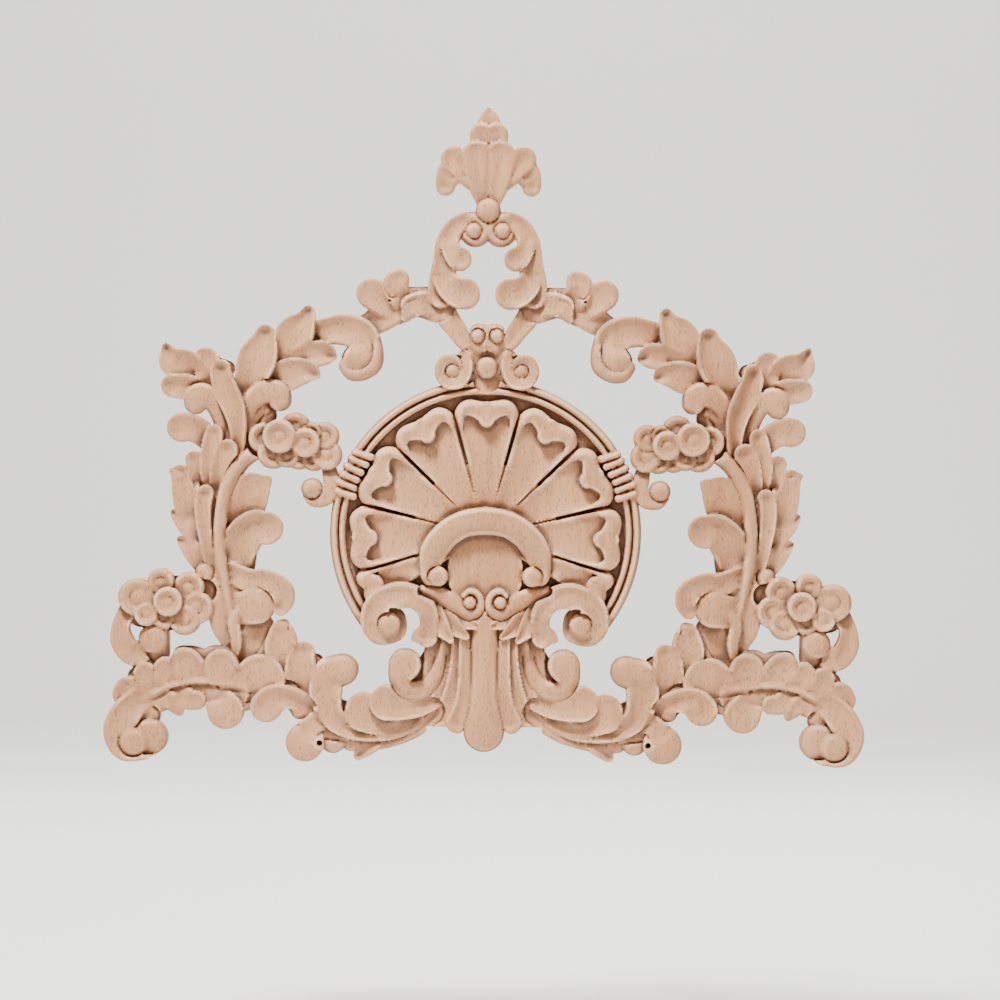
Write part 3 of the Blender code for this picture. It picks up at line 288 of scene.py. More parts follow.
band((164, -22, 2.4, 10), (167, -6, 3.8, 13), (169.3, 10, 4.7, 14), (169.4, 20, 5.1, 14.4),
     (168.2, 26.6, 5.1, 14.2), crown=-1.8, fall=0.35, root=0.15)

band((151, -62, 2.4, 10.5), (153, -44, 3.0, 12.5), (156, -28, 3.4, 13.8), (158.8, -12, 3.7, 15.2),
     (159.4, 5, 3.9, 16), (157, 24, 4.2, 16), (153, 35.6, 4.5, 15.5), (146.5, 45.6, 4.7, 14.6),
     (138, 52.2, 4.7, 13), (131, 54, 4.0, 11), crown=2.2, fall=1.0, root=0.34)


# The ties
# A stem curls in from the flower to a small volute, where short round bars, side by side, lash it
# to the ring. They are carved from the same board as all the rest.
def eye(x, z, radius, height, line=0.5):
    """The flat boss at the heart of a volute, with a line cut round inside its edge."""
    ball(x, z, radius, height, 2.0, 1.0, fall=2.0, edge=0.35 * radius)
    turn = [(*polar(0.52 * radius, angle, (x, z)), 0.55, line) for angle in range(60, 280, 20)]
    band(*turn, crown=0, fall=0, steps=3, cut=True)


band((95, 44, 4.0, 10), (93.2, 37, 4.8, 12), (92.8, 30, 4.8, 13), (96.6, 24.4, 4.8, 13.5),
     (103, 23.0, 4.0, 13.5), (106.6, 26.4, 3.3, 13.5), crown=-0.6, fall=1.4)
eye(104.4, 30.0, 6.4, 15.2)
for (ax, az), (bx, bz) in (
        ((69, 49.0), (78.5, 51.7)), ((72, 44.5), (80.8, 48.2)), ((75, 39.8), (83.5, 43.6)),
        ((77.5, 35.2), (85.8, 38.9)), ((79, 30.4), (88, 34.0)), ((79.5, 25.6), (89, 28.6))):
    band((ax, az, 2.35, 14), (bx, bz, 2.45, 14.5), crown=2.0, fall=0.8)


# The flowers
# Two bunches of round petals, one toward the ring and one at the outer side. Each petal is a
# small dish with a crisp rim and a low boss, set over the next.
DISH_SHARE = 0.8
DISH_DEPTH = 1.5
BOSS_SHARE = 0.46
BOSS_DROP = 1.0


def petals(*places):
    """Dished petals, from the back to the front: (x, z, radius, height, lean in x, lean in z)."""
    for x, z, radius, height, lean_x, lean_z in places:
        ball(x, z, radius, height, 0.8, 1.0, lean=(lean_x, lean_z), fall=1.3, edge=1.5)
        dish_x, dish_z, dish = x - 0.6 * lean_x, z - 0.6 * lean_z, DISH_SHARE * radius
        band((dish_x, dish_z, dish, DISH_DEPTH), (dish_x + 0.1, dish_z, dish, DISH_DEPTH), crown=0,
             fall=0, steps=1, cut=True)
        ball(dish_x, dish_z, BOSS_SHARE * radius, height - BOSS_DROP, 0.8, 1.0, fall=0.2)


band((98, 51, 9, 8), (116, 56, 12, 8), (134, 58, 10, 8), crown=0)
petals((134, 60, 9.0, 12.5, 0.6, 0.6), (128, 50.8, 9.2, 13, 0.4, -0.5), (112.5, 49, 7.8, 12.5, 0, -0.5),
       (103.5, 48, 7.6, 12.5, 0, -0.5), (95.8, 50.4, 9.2, 14, -0.5, -0.3), (96.8, 61.6, 8.4, 14, -0.5, 0.5),
       (114.5, 66.8, 8.9, 14, 0, 0.7), (119.5, 49.5, 7.2, 13, 0, -0.5), (105, 63.5, 6.5, 13.5, 0, 0.5),
       (108.5, 57.5, 8.8, 16, -0.5, 0.4), (124, 61.2, 10.1, 17, -0.5, 0.4))

band((168, -32, 7, 8), (186, -34, 11, 8), (202, -38, 11, 8), crown=0)
band((172, -46, 6, 8), (190, -48, 8, 8), (206.8, -46.8, 7.3, 8), crown=0)
band((198, -69, 6, 10), (207.5, -74, 5.5, 10), crown=0.5)
band((213.2, -42, 5.6, 11), (218.3, -53, 5.2, 12), (217.6, -62.5, 6.7, 13), (211.3, -70.0, 6.9, 13),
     (202, -66.5, 7, 11.5), crown=-1.6, tilt=-0.8, fall=0.9, edge=1.6)
band((196.2, -54, 6.7, 12.5), (195.8, -69, 6.6, 10), crown=1.2, fall=1.0)
ball(198.8, -60.8, 8.7, 14.2, 2.6, 0.8, fall=0.9, edge=1.8)
petals((177.6, -29.8, 9.2, 13, -0.4, 0.6), (172.6, -42, 9.6, 13.5, -0.8, 0),
       (180, -49.5, 9.2, 14, -0.3, -0.6), (193, -47.6, 7.4, 13.5, 0, -0.6),
       (208.5, -36.0, 11.3, 14, 0.8, 0), (203, -46.2, 7.2, 15, 0.3, -0.5),
       (194.4, -26.4, 7.9, 14.5, 0, 0.8), (190, -38.5, 8.8, 17, -0.4, 0.3))


# The bottom leaf
# A broad leaf runs out along the bottom, with overlapping scalloped lobes above and below its
# midrib, and rolls up at its end into a scroll.
band((118, -93, 8, 11.5), (141, -90, 8.4, 10.5), (165, -86, 12, 10), (190, -92, 11, 10), (208, -102, 9, 11),
     crown=1.0)
band((157, -69.6, 4.8, 9.5), (163, -69.6, 4.8, 9.5), (168, -71.6, 4.6, 9.5), (175, -70, 4.9, 9.5),
     (182, -69.8, 4.8, 9.5), crown=0)
ball(207.6, -84, 6.6, 10, 1.0)
for rows in (((202, -99, 6, 11), (208, -94.6, 8, 12), (212.8, -91.6, 8.2, 12.6),
              (215.4, -94.2, 7.5, 12)),
             ((194, -94, 5, 11), (199, -87.6, 6.4, 12.2), (203.4, -82.2, 7.2, 12.6)),
             ((184, -92, 5, 11), (188, -84.6, 6.2, 12.4), (191.4, -78.6, 7.0, 12.8)),
             ((166, -92, 6, 11), (172, -82.6, 8, 12.6), (177.6, -76.0, 8.9, 13),
              (180.6, -73.6, 7.6, 12.6)),
             ((148, -92, 7, 11), (153.6, -82.6, 8.8, 12.8), (157.8, -77.2, 10.4, 13.2)),
             ((144, -94, 10, 11), (138, -87.5, 13.5, 12.6), (134.6, -85.2, 15.4, 13.4))):
    band(*rows, crown=-1.0, tilt=0.9, fall=0.7, edge=1.2, root=0.6, veins=(-0.35, 0.05, 0.45))
for rows in (((196, -94, 6, 11), (189, -97.6, 5.3, 12), (185.2, -101.6, 4.1, 11.6),
              (182.8, -104.8, 2.4, 11)),
             ((184, -91, 6, 11), (178, -96.8, 6.2, 12), (172.4, -97.8, 5.6, 11.6)),
             ((152, -88, 7, 11), (147, -93, 6.2, 11.5), (146.4, -95.8, 4.0, 11))):
    band(*rows, crown=-1.0, tilt=-0.8, fall=1.0, edge=1.4, root=0.5, veins=(0.1, 0.5))
band((160, -96, 8, 11), (154.9, -103.8, 10.9, 13.4), crown=-0.8, fall=0.8, edge=1.4, root=0.5)
band((138, -90.8, 1.4, 11.6), (155, -87.6, 1.6, 11.9), (170, -85.8, 1.7, 12.0), (186, -88, 1.7, 11.9),
     (198, -93.5, 1.5, 11.8), (205, -98, 1.3, 11.6), crown=0.6, fall=0.2, root=0.3)
groove((134, -94), (148, -92.2), (158, -90.0), (170, -88.6), (184, -90.4), (196, -95.9), (204, -102.4),
       width=1.3, depth=1.1)


# The foot
# Flutes spread from under the pair of small volutes and end in round tips, with a tongue on the
# middle line. The foot is sawn off square between the flutes and the scrolls beside it.
FOOT_Z = -112.3
FOOT_X = (22.5, 35.0)
band((30, -64, 4, 7), (36, -78, 6.5, 7), (44, -86, 7, 7.5), crown=0)
band((27, -50, 8, 11), (29, -75, 8, 10), (33, -96, 7, 9), (41, -108, 6, 8), crown=-1.5)
band((19, -48, 7, 12), (21, -72, 6.5, 12), (27, -96, 6, 11), (33, -108, 6, 9.5), crown=-2.0, root=0.1)
band((14, -48, 6, 13), (15, -72, 5.5, 13.5), (19.5, -92, 5, 12.5), (26, -108.5, 5.5, 10.5), crown=-2.0)
band((9.5, -48, 6, 14), (10.5, -75, 5, 15), (12, -95, 5, 14), (16.3, -109.8, 6.4, 12), crown=-2.0)
band((0, -42, 9, 14), (0, -75, 8.2, 16), (0, -98, 8.5, 17), (0, -115, 12.2, 14.5), crown=3.0, fall=1.6)
groove((3.6, -60), (3.3, -80), (4.3, -97), (7.5, -108), width=1.0, depth=0.9)


# The scrolls beside the foot
# A long leafy S-scroll sweeps out from the foot and curls up to the bottom leaf, with a small
# volute rolled against it and two scalloped lobes laid over its hollow.
band((32, -103, 8.6, 8), (46, -111.0, 9.9, 9), (60, -116.4, 9.3, 9.5), (75, -120.2, 7.9, 9.5), crown=-1.8)
lobe((60, -116), (77.4, -132.0), 7.4, bend=0.08, heights=(9, 10.5, 9), point=0.42)
ball(79.6, -121.2, 6.3, 9.2, 1.5)
ball(90.4, -121.2, 7.6, 11, 2.5)
band((84, -114, 8, 10), (97, -112, 8, 10), (101, -106, 8, 10), crown=0)
band((84.4, -103, 5.8, 10.5), (87, -101, 5.0, 11), crown=0, fall=0.4)
band((34, -100, 6, 9), (46, -110.5, 6, 11), (60, -115.5, 5.5, 12.5), (78, -114.5, 6, 13.5),
     (90.6, -107.0, 7.4, 15), (95.2, -94, 9.5, 16.5), (94.0, -84, 9.6, 17), crown=-2.4, tilt=1.0,
     fall=1.4, edge=1.8, veins=(-0.1, 0.35))
band((94.6, -92, 9.0, 15.5), (93.2, -81.8, 10.1, 17.2), (85.1, -78.4, 9.6, 17.6), crown=2.4, power=0.9,
     fall=1.2, edge=2.2, root=0.6)
band((42, -107, 6, 10), (54, -110.4, 7.4, 11.5), (64, -108.0, 9.4, 13), (72.0, -103.8, 11.7, 14.6),
     crown=-1.5, tilt=0.8, fall=0.6, edge=1.1, root=0.6, veins=(-0.25, 0.3))
band((28, -95, 6, 10), (40, -99.0, 7.6, 12), (50, -99.2, 9.2, 14), (58.2, -98.0, 10.6, 15.6),
     crown=-1.5, tilt=0.8, fall=0.6, edge=1.1, root=0.6, veins=(-0.25, 0.3))
band((96, -108, 6.5, 11.5), (102, -111, 6.5, 12.6), (106, -115, 7, 13.2), crown=-0.8, fall=0.8, root=0.3)
band((105, -117, 8.5, 12.6), (107.2, -122.2, 11.5, 14.4), crown=1.6, power=0.6, fall=0.7, root=0.5)
band((98.3, -122.5, 1.7, 14), (98.5, -122.5, 1.7, 14), crown=0, fall=0, cut=True)

band((25.5, -62, 3.4, 10), (27, -75, 4.0, 10.5), (31, -84.5, 4.9, 11), (38.5, -90.2, 5.4, 12.5),
     (47, -89.6, 6.0, 14), (50.7, -83, 6.6, 15.5), (47.7, -75.0, 9.7, 16.5), crown=1.4, power=0.7,
     fall=1.2, edge=1.6, root=0.15)
groove((33, -89), (40, -93), (48, -92.6), (54, -87), (56, -79), width=0.9, depth=0.9)

ball(110.6, -103, 5.5, 11.5, 1.5)
band((102, -104, 4, 11), (109, -98.5, 6, 13), (118, -95.3, 7.0, 15), (126.5, -96.8, 8.8, 15.5),
     (130.5, -100.8, 9.6, 15), crown=-2.0, fall=0.9, tilt=0.6, root=0.15, veins=(-0.35, 0.0, 0.4))

band((204, -106, 7, 9), (203, -116, 8, 9), crown=0.5)
ball(200.6, -107, 6.2, 9.5, 1.5)
band((196, -93, 6, 10), (207, -98, 8, 12), (214.2, -105.4, 9.0, 14), (218.4, -115, 9.4, 16),
     (214.3, -124, 9.8, 16.5), (205, -124, 9.6, 16), crown=-2.0, tilt=0.8, fall=1.4, edge=2.0, root=0.22,
     veins=(-0.35, 0.1, 0.45))
ball(200.4, -119.9, 10.7, 13.6, 1.8, 1.0, fall=1.2, edge=2.4)
eye(210.2, -123, 8.8, 17.2, line=0.0)


# The arch and the volutes under it
# A thick rounded arch ends in curled eyes over a flat recess. Below it two small volutes meet on
# the middle line, broad C-scrolls turn over the edge of the disc, and leaf tips hang to the foot.
band((0, -2, 20, GROUND + 3.5), (0, -20, 23, GROUND + 3.5), crown=0, fall=0)
band((-6, 11.4, 8.2, 18.5), (0, 11.5, 8.2, 18.5), (13, 9.4, 8.0, 18.5), (23.4, 3.0, 8.2, 18),
     (30.4, -6.0, 8.2, 17), (33.0, -14, 6.6, 16), (34.2, -21, 4.9, 15), (31.5, -26.3, 3.9, 14), crown=4.6,
     power=0.62, tilt=0.9, fall=0.7)
eye(28.6, -22.0, 6.3, 16.8)

lobe((22, -38), (3.8, -53.0), 5.6, bend=0.12, heights=(12, 14.6, 15.6), point=0.35, fall=0.4)
lobe((26, -39), (9.8, -59.6), 5.6, bend=0.10, heights=(13, 15.2, 16), point=0.35, fall=0.4)
lobe((30, -40), (19.4, -62.0), 5.6, bend=0.08, heights=(13, 15.8, 16.4), point=0.35, fall=0.4)
lobe((34, -55), (44.0, -60.4), 4.6, heights=(14.6, 14.6, 14.4), point=0.4, hollow=0.6, fall=0.6)
band((34.4, -58.2, 6.4, 14.8), (33.0, -50, 5.8, 16.4), (34.6, -42.5, 5.9, 18.5), (39.2, -36.4, 6.6, 19.5),
     (46.5, -33.4, 7.4, 20), (55, -34.4, 8.1, 19.5), (64, -40.2, 8.2, 18), (68, -50, 6.4, 16.5),
     (64.2, -57.6, 5.2, 15.5), (57.5, -59.4, 3.6, 15), (51.2, -56.6, 3.4, 14.5), (49.9, -50.8, 3.0, 14),
     (51.6, -45.4, 3.2, 13.5), (55.5, -42.6, 2.4, 13.5), crown=-2.0, fall=1.6, edge=2.4, tilt=-0.8)
eye(57.5, -50.4, 6.9, 17.6)

band((37, -30.5, 3.5, 12), (28, -33, 4.8, 13), (18.5, -38, 5.6, 13.5), (10, -43.8, 4.8, 14),
     (4.3, -43.0, 3.6, 14.5), (2.7, -37.5, 2.6, 15), (4.6, -32.6, 2.3, 15.2), (9, -30.8, 2.0, 15.2),
     (12.6, -33.4, 1.8, 14.8), crown=1.6, fall=1.0)
eye(9.0, -37.4, 4.3, 16.2)


# The crest
# Two pairs of volutes and lobes, back to back, make an open ring. A leaf in three tiers stands on
# it over a ball, with a drooping side lobe to each side.
band((0, 103, 8.2, 9.5), (0, 96, 8.2, 9.5), crown=0, fall=0.6)
band((0, 107, 9, 9.5), (11, 107, 8, 12), crown=0, fall=0.6)
ball(12, 98, 4.4, 11, 1.0)
ball(20.6, 100.8, 10.4, 11, 1.0)
band((12.4, 110, 3.4, 13), (12.4, 102, 3.8, 13.8), (16, 95.4, 4.2, 14.2), (22.6, 94.8, 4.4, 14.4),
     (27.0, 99.4, 4.2, 14.6), (26.0, 105.6, 4.0, 14.6), (20.8, 107.6, 3.4, 14.2), (17, 104.6, 2.8, 14),
     crown=-0.8, fall=0.9, tilt=-0.6)
ball(20.9, 101.2, 4.6, 13.4, 1.4, 0.8, fall=0.3)
ball(0, 103.5, 6.6, 15, 4.0)
scroll((5.2, 121.8), (6.4, 5.0), (-90, -300), (3.5, 2.6), (14, 14.5), crown=0.8, fall=1.0, root=0.4)
eye(5.6, 122.5, 4.6, 15.8)
ball(15.4, 185.4, 5.0, 13, 1.0)
scroll((8.3, 185.6), (5.6, 7.8), (-40, -330), (3.4, 4.2), (14, 13.4), crown=1.4)
band((9, 191.8, 5.1, 13.6), (15, 190.8, 5.2, 14.2), (20.6, 186.4, 5.9, 14), (24.6, 177.6, 6.7, 14.5),
     (25.8, 166, 7.2, 14.5), (27.4, 154, 8.0, 14.2), (28.0, 146.6, 7.6, 13.2), crown=-1.8, fall=1.0,
     root=0.14, veins=(0.35,))
band((26.4, 162, 5, 13.5), (24.4, 153.6, 7.4, 15.4), (18.4, 148.2, 8.6, 16.4), (13.6, 147.6, 9.1, 16.4),
     crown=-2.2, tilt=-0.6, fall=0.9, root=0.25, veins=(-0.1,))
band((23, 184, 4.6, 13.5), (22.6, 176, 5.6, 15.4), (19.6, 169.6, 6.2, 16.4), (16.7, 168.5, 6.9, 16.2),
     crown=-1.8, tilt=-0.6, fall=0.9, root=0.25)
eye(8.5, 185.4, 5.0, 16.2)

band((0, 236, 6, 12), (0, 246.4, 7.2, 13.2), (0.6, 252.4, 5.0, 13), (0, 257, 2.2, 12), crown=-1.0, fall=1.2)
band((0, 222, 6, 13), (2.8, 234, 7.6, 14.4), (4.2, 242.7, 7.4, 14.8), crown=-1.2, fall=1.2, root=0.2)
band((6, 218, 4, 14.4), (15, 221.6, 6.6, 15.2), (22.5, 220.6, 7.7, 14.8), (25.5, 214.8, 6.0, 14.2),
     (25.9, 212.3, 5.6, 13.5), crown=-1.4, fall=1.2)
band((4, 210, 4, 14), (12.5, 220.6, 7.8, 15.8), (20.8, 227.8, 7.9, 15.6), crown=-1.4, fall=1.0, tilt=0.6,
     root=0.3)
band((0, 203, 6.8, 13), (4.0, 216.4, 9.2, 15.6), (6.6, 229.7, 9.6, 16.0), crown=-1.6, fall=0.9, root=0.1)
groove((11.5, 214), (16, 221), (20, 226), width=0.7, depth=0.5)
groove((16, 217.5), (20, 218), (24, 216.6), width=0.7, depth=0.5)
groove((3.4, 207), (6, 219), (8.6, 231), width=0.9, depth=0.7)
groove((0, 206), (0, 224), (0, 242), width=1.4, depth=1.2)
ball(0, 197.6, 7.4, 16.5, 4.0)


# The board under the carver's tools
# The strokes are cut into one half of a grid that stands for the face of the board. It is sawn to
# the outline, thinned where it is plain, mirrored, and given its straight walls and flat back.
MM = 0.001
CELL = 0.6
REACH_X = 230.4
BOTTOM_Z = -138.0
TOP_Z = 262.8
THIN_EDGE = 4.0
FACE_TRIANGLES = 156000
ALL_TRIANGLES = 186000
PINCH_GAP = 0.25
PIT_FLOOR = 1.5
VEIN_DEPTH = 0.35
VEIN_WIDTH = 0.5
BLEND_STEP = 1.0
SANDING_PASSES = 3
SANDED_STEP = 0.35
EDGE_REACH = 5
EDGE_GAIN = 0.75
FULL_HEIGHT = 17.5
SPARE_HEIGHT = 2.1
SHARP_ANGLE = math.radians(48)


def nearest(path, x, z):
    """For each point: its distance over the half-width, its side, its way along, and row values."""
    ratio = np.full(x.shape, 1e9)
    side = np.zeros(x.shape)
    way = np.zeros(x.shape)
    width = np.ones(x.shape)
    height = np.zeros(x.shape)
    last = len(path) - 1
    for i in range(last):
        ax, az, aw, ah = path[i]
        step = path[i + 1] - path[i]
        length = max(math.hypot(step[0], step[1]), 1e-6)
        ux, uz = step[0] / length, step[1] / length
        along = ((x - ax) * ux + (z - az) * uz) / length
        across = uz * (x - ax) - ux * (z - az)
        square = np.maximum(aw + step[2] * along, 0.2)
        along = np.clip(along + step[2] * across * across / (square * length * length), 0, 1)
        half = aw + step[2] * along
        off = np.hypot(x - ax - step[0] * along, z - az - step[1] * along)
        closer = off / half < ratio
        ratio[closer] = (off / half)[closer]
        side[closer] = ((ux * (z - az) - uz * (x - ax)) / half)[closer]
        way[closer] = ((i + along) / last)[closer]
        width[closer] = half[closer]
        height[closer] = (ah + step[3] * along)[closer]
    return ratio, side, way, width, height


def section_height(s, x, z, ratio, side, way, width, height):
    """How high a stroke stands at each point under it."""
    inward = (1 - ratio) * width
    body = np.clip(1 - ratio ** 2, 0, 1) ** s["power"]
    lift = height - max(s["crown"], 0) + s["crown"] * body + s["tilt"] * side
    fall = np.where(side > 0, s["inner_fall"], s["fall"])
    lift -= fall * np.clip(1 - inward / s["edge"], 0, 1) ** 2
    ends = np.clip(4 * way, 0, 1) * np.clip(4 * (1 - way), 0, 1)
    for place in s["veins"]:
        lift -= VEIN_DEPTH * ends * np.exp(-((side - place) * width / VEIN_WIDTH) ** 2)
    centre_x, centre_z = s["path"][0][:2]
    return lift + (s["lean"][0] * (x - centre_x) + s["lean"][1] * (z - centre_z)) / width


def relief(x, z, cell):
    """Height of the carved face at each point, and how far it lies outside the outline."""
    x = np.abs(x)
    face = np.zeros(x.shape)
    outside = np.full(x.shape, 1e9)
    for s in strokes:
        path = s["path"]
        margin = path[:, 2].max() + 2 * cell
        near = np.nonzero((x > path[:, 0].min() - margin) & (x < path[:, 0].max() + margin)
                          & (z > path[:, 1].min() - margin) & (z < path[:, 1].max() + margin))[0]
        if len(near) == 0:
            continue
        ratio, side, way, width, height = nearest(path, x[near], z[near])
        inward = (1 - ratio) * width
        cover = np.clip(inward / cell + 0.5, 0, 1)
        if s["cut"]:
            face[near] -= cover * height * np.clip(1 - ratio ** 2, 0, 1)
            continue
        lift = section_height(s, x[near], z[near], ratio, side, way, width, height)
        already = outside[near] < 0.5 * cell
        below = face[near]
        if s["root"] > 0:
            grown = np.clip(way / s["root"], 0, 1)
            grown = grown * grown * (3 - 2 * grown)
            stub = np.maximum(below, lift - BLEND_STEP)
            lift = np.where(already, grown * lift + (1 - grown) * stub, lift)
        cover = np.where(already, cover, inward > -0.75 * cell)
        face[near] = below + cover * (lift - below)
        outside[near] = np.minimum(outside[near], -inward)
    sawn = np.where((x > FOOT_X[0]) & (x < FOOT_X[1]), FOOT_Z - z, -1e9)
    return face, np.maximum(outside, sawn)


def blurred(field, inside, reach, passes=2):
    """The field averaged over a square of the given reach, from the wood alone."""
    total, weight = np.where(inside, field, 0.0), inside.astype(float)
    for _ in range(passes):
        for axis in (0, 1):
            for layer in (total, weight):
                margins = [(reach + 1, reach) if a == axis else (0, 0) for a in (0, 1)]
                padded = np.pad(layer, margins, "edge")
                running = np.cumsum(padded, axis=axis)
                span = layer.shape[axis]
                ahead = np.take(running, range(2 * reach + 1, 2 * reach + 1 + span), axis=axis)
                behind = np.take(running, range(0, span), axis=axis)
                layer[...] = (ahead - behind) / (2 * reach + 1)
    return np.where(weight > 1e-6, total / np.maximum(weight, 1e-6), field)


columns = round(REACH_X / CELL)
rows = round((TOP_Z - BOTTOM_Z) / CELL)
grid_x, grid_z = np.meshgrid(np.arange(columns + 1) * CELL, BOTTOM_Z + np.arange(rows + 1) * CELL)
flat_face, flat_outside = relief(grid_x.ravel(), grid_z.ravel(), CELL)
face = flat_face.reshape(grid_x.shape)
inside = flat_outside.reshape(grid_x.shape) < 0.5 * CELL
# sanding: the small steps between cuts are rubbed down, the real edges stay
for _ in range(SANDING_PASSES):
    rubbed = blurred(face, inside, 1, 1)
    face = np.where(inside & (np.abs(rubbed - face) < SANDED_STEP), rubbed, face)
# the cuts between neighbours are set in deeper and their edges left standing, but not above the
# board, and no pit reaches its back
face = face + EDGE_GAIN * (face - blurred(face, inside, EDGE_REACH))
eased = FULL_HEIGHT + SPARE_HEIGHT * np.tanh((face - FULL_HEIGHT) / SPARE_HEIGHT)
face = np.where(face > FULL_HEIGHT, eased, np.maximum(face, PIT_FLOOR))
# how far each place lies below what stands within a few cells of it, for the painted shade and painted
# highlight in the finish
depth_near, depth_middle, depth_wide = (blurred(face, inside, reach) - face for reach in (2, 5, 12))


def kept_cells(middle_x, middle_z):
    """Which grid cells lie inside the outline, with cells that would meet at one corner only joined."""
    column = np.floor(middle_x / CELL).astype(int)
    row = np.floor((middle_z - BOTTOM_Z) / CELL).astype(int)
    keep = np.zeros((columns, rows), dtype=bool)
    keep[column, row] = relief(middle_x, middle_z, CELL)[1] < 0
    for _ in range(8):
        a, b, c, d = keep[:-1, :-1], keep[1:, :-1], keep[:-1, 1:], keep[1:, 1:]
        rising = a & d & ~b & ~c
        falling = b & c & ~a & ~d
        keep[1:, :-1] |= rising
        keep[:-1, 1:] |= rising
        keep[:-1, :-1] |= falling
        keep[1:, 1:] |= falling
    return keep[column, row]


def slide_to_outline(x, z):
    """Moves points near the outline onto it."""
    probe, longest = 0.05, 0.45 * CELL
    for _ in range(3):
        gap = relief(x, z, CELL)[1]
        gx = (relief(x + probe, z, CELL)[1] - relief(x - probe, z, CELL)[1]) / (2 * probe)
        gz = (relief(x, z + probe, CELL)[1] - relief(x, z - probe, CELL)[1]) / (2 * probe)
        slope = np.maximum(gx * gx + gz * gz, 0.3)
        x = x - np.clip(gap * gx / slope, -longest, longest)
        z = z - np.clip(gap * gz / slope, -longest, longest)
    return x, z


def thinned(mesh, triangles):
    """The mesh with only as many triangles as given, most of them where it is carved finely."""
    piece = bpy.data.objects.new("thinning", mesh)
    bpy.context.scene.collection.objects.link(piece)
    modifier = piece.modifiers.new("thin", "DECIMATE")
    modifier.ratio = min(1.0, triangles / sum(len(face.vertices) - 2 for face in mesh.polygons))
    result = bpy.data.meshes.new_from_object(piece.evaluated_get(bpy.context.evaluated_depsgraph_get()))
    bpy.data.objects.remove(piece, do_unlink=True)
    return result


bm = bmesh.new()
bmesh.ops.create_grid(bm, x_segments=columns, y_segments=rows, size=0.5)
co = np.array([v.co for v in bm.verts])
x = (co[:, 0] + 0.5) * REACH_X
z = (co[:, 1] + 0.5) * (TOP_Z - BOTTOM_Z) + BOTTOM_Z
heights = face[np.rint((z - BOTTOM_Z) / CELL).astype(int), np.rint(x / CELL).astype(int)]
cells = bm.faces[:]
corners = np.array([[v.index for v in f.verts] for f in cells])
keep = kept_cells(x[corners].mean(axis=1), z[corners].mean(axis=1))
for vert, vx, vz, height in zip(bm.verts, x, z, heights):
    vert.co = (vx, -height, vz)
bmesh.ops.delete(bm, geom=[f for f, kept in zip(cells, keep) if not kept], context="FACES")
rim = [v for v in bm.verts if v.is_boundary and v.co.x > 0.1 * CELL]
x, z = slide_to_outline(np.array([v.co.x for v in rim]), np.array([v.co.z for v in rim]))
for vert, vx, vz, height in zip(rim, x, z, relief(x, z, CELL)[0]):
    vert.co = (max(vx, 0.0), -max(height, THIN_EDGE), vz)
bmesh.ops.triangulate(bm, faces=bm.faces[:])
half = bpy.data.meshes.new("carved_half")
bm.to_mesh(half)
bm.free()

bm = bmesh.new()
bm.from_mesh(thinned(half, FACE_TRIANGLES // 2))
for vert in bm.verts:
    if vert.co.x < 0.05:
        vert.co.x = 0.0
bmesh.ops.mirror(bm, geom=bm.verts[:] + bm.edges[:] + bm.faces[:], axis="X", merge_dist=0.02)
bmesh.ops.delete(bm, geom=[e for e in bm.edges if not e.link_faces], context="EDGES")
for vert in [v for v in bm.verts if sum(e.is_boundary for e in v.link_edges) > 2]:
    for corner in bmesh.utils.vert_separate(vert, [e for e in vert.link_edges if e.is_boundary]):
        inner = [f.calc_center_median() for f in corner.link_faces]
        corner.co = corner.co.lerp(sum(inner, Vector()) / len(inner), PINCH_GAP)
back = bmesh.ops.extrude_face_region(bm, geom=bm.faces[:], use_keep_orig=True)["geom"]
for item in back:
    if isinstance(item, bmesh.types.BMVert):
        item.co.y = 0.0
bmesh.ops.recalc_face_normals(bm, faces=bm.faces[:])
bmesh.ops.scale(bm, vec=(MM, MM, MM), verts=bm.verts[:])
solid = bpy.data.meshes.new("carved_solid")
bm.to_mesh(solid)
bm.free()
carving_mesh = thinned(solid, ALL_TRIANGLES)
carving_mesh.name = "carved_crest"
carving = bpy.data.objects.new("carved_crest", carving_mesh)
bpy.context.scene.collection.objects.link(carving)
carving_mesh.shade_smooth()
carving_mesh.set_sharp_from_angle(angle=SHARP_ANGLE)


def sampled(field, x, z):
    """Values of a grid field at points on the face, in millimetres."""
    column = np.clip(np.abs(x) / CELL, 0, columns - 1e-3)
    row = np.clip((z - BOTTOM_Z) / CELL, 0, rows - 1e-3)
    i, j = column.astype(int), row.astype(int)
    u, v = column - i, row - j
    return ((field[j, i] * (1 - u) + field[j, i + 1] * u) * (1 - v)
            + (field[j + 1, i] * (1 - u) + field[j + 1, i + 1] * u) * v)


points = np.empty(3 * len(carving_mesh.vertices))
carving_mesh.vertices.foreach_get("co", points)
points = points.reshape(-1, 3) / MM
on_face = points[:, 1] < -1.0
# painted shade goes where the face lies below its neighbours, painted highlight where it stands above them
recess_parts = ((0.4, depth_near, 0.9), (0.35, depth_middle, 2.4), (0.25, depth_wide, 5.0))
hollows = sum(share * np.clip(depth / full, 0, 1) for share, depth, full in recess_parts)
for name, field in (("recess", hollows), ("edge_light", np.clip(-depth_near, 0, 1))):
    values = np.where(on_face, sampled(field, points[:, 0], points[:, 2]), 0.0)
    attribute = carving_mesh.attributes.new(name, "FLOAT", "POINT")
    attribute.data.foreach_set("value", values.astype(np.float32))
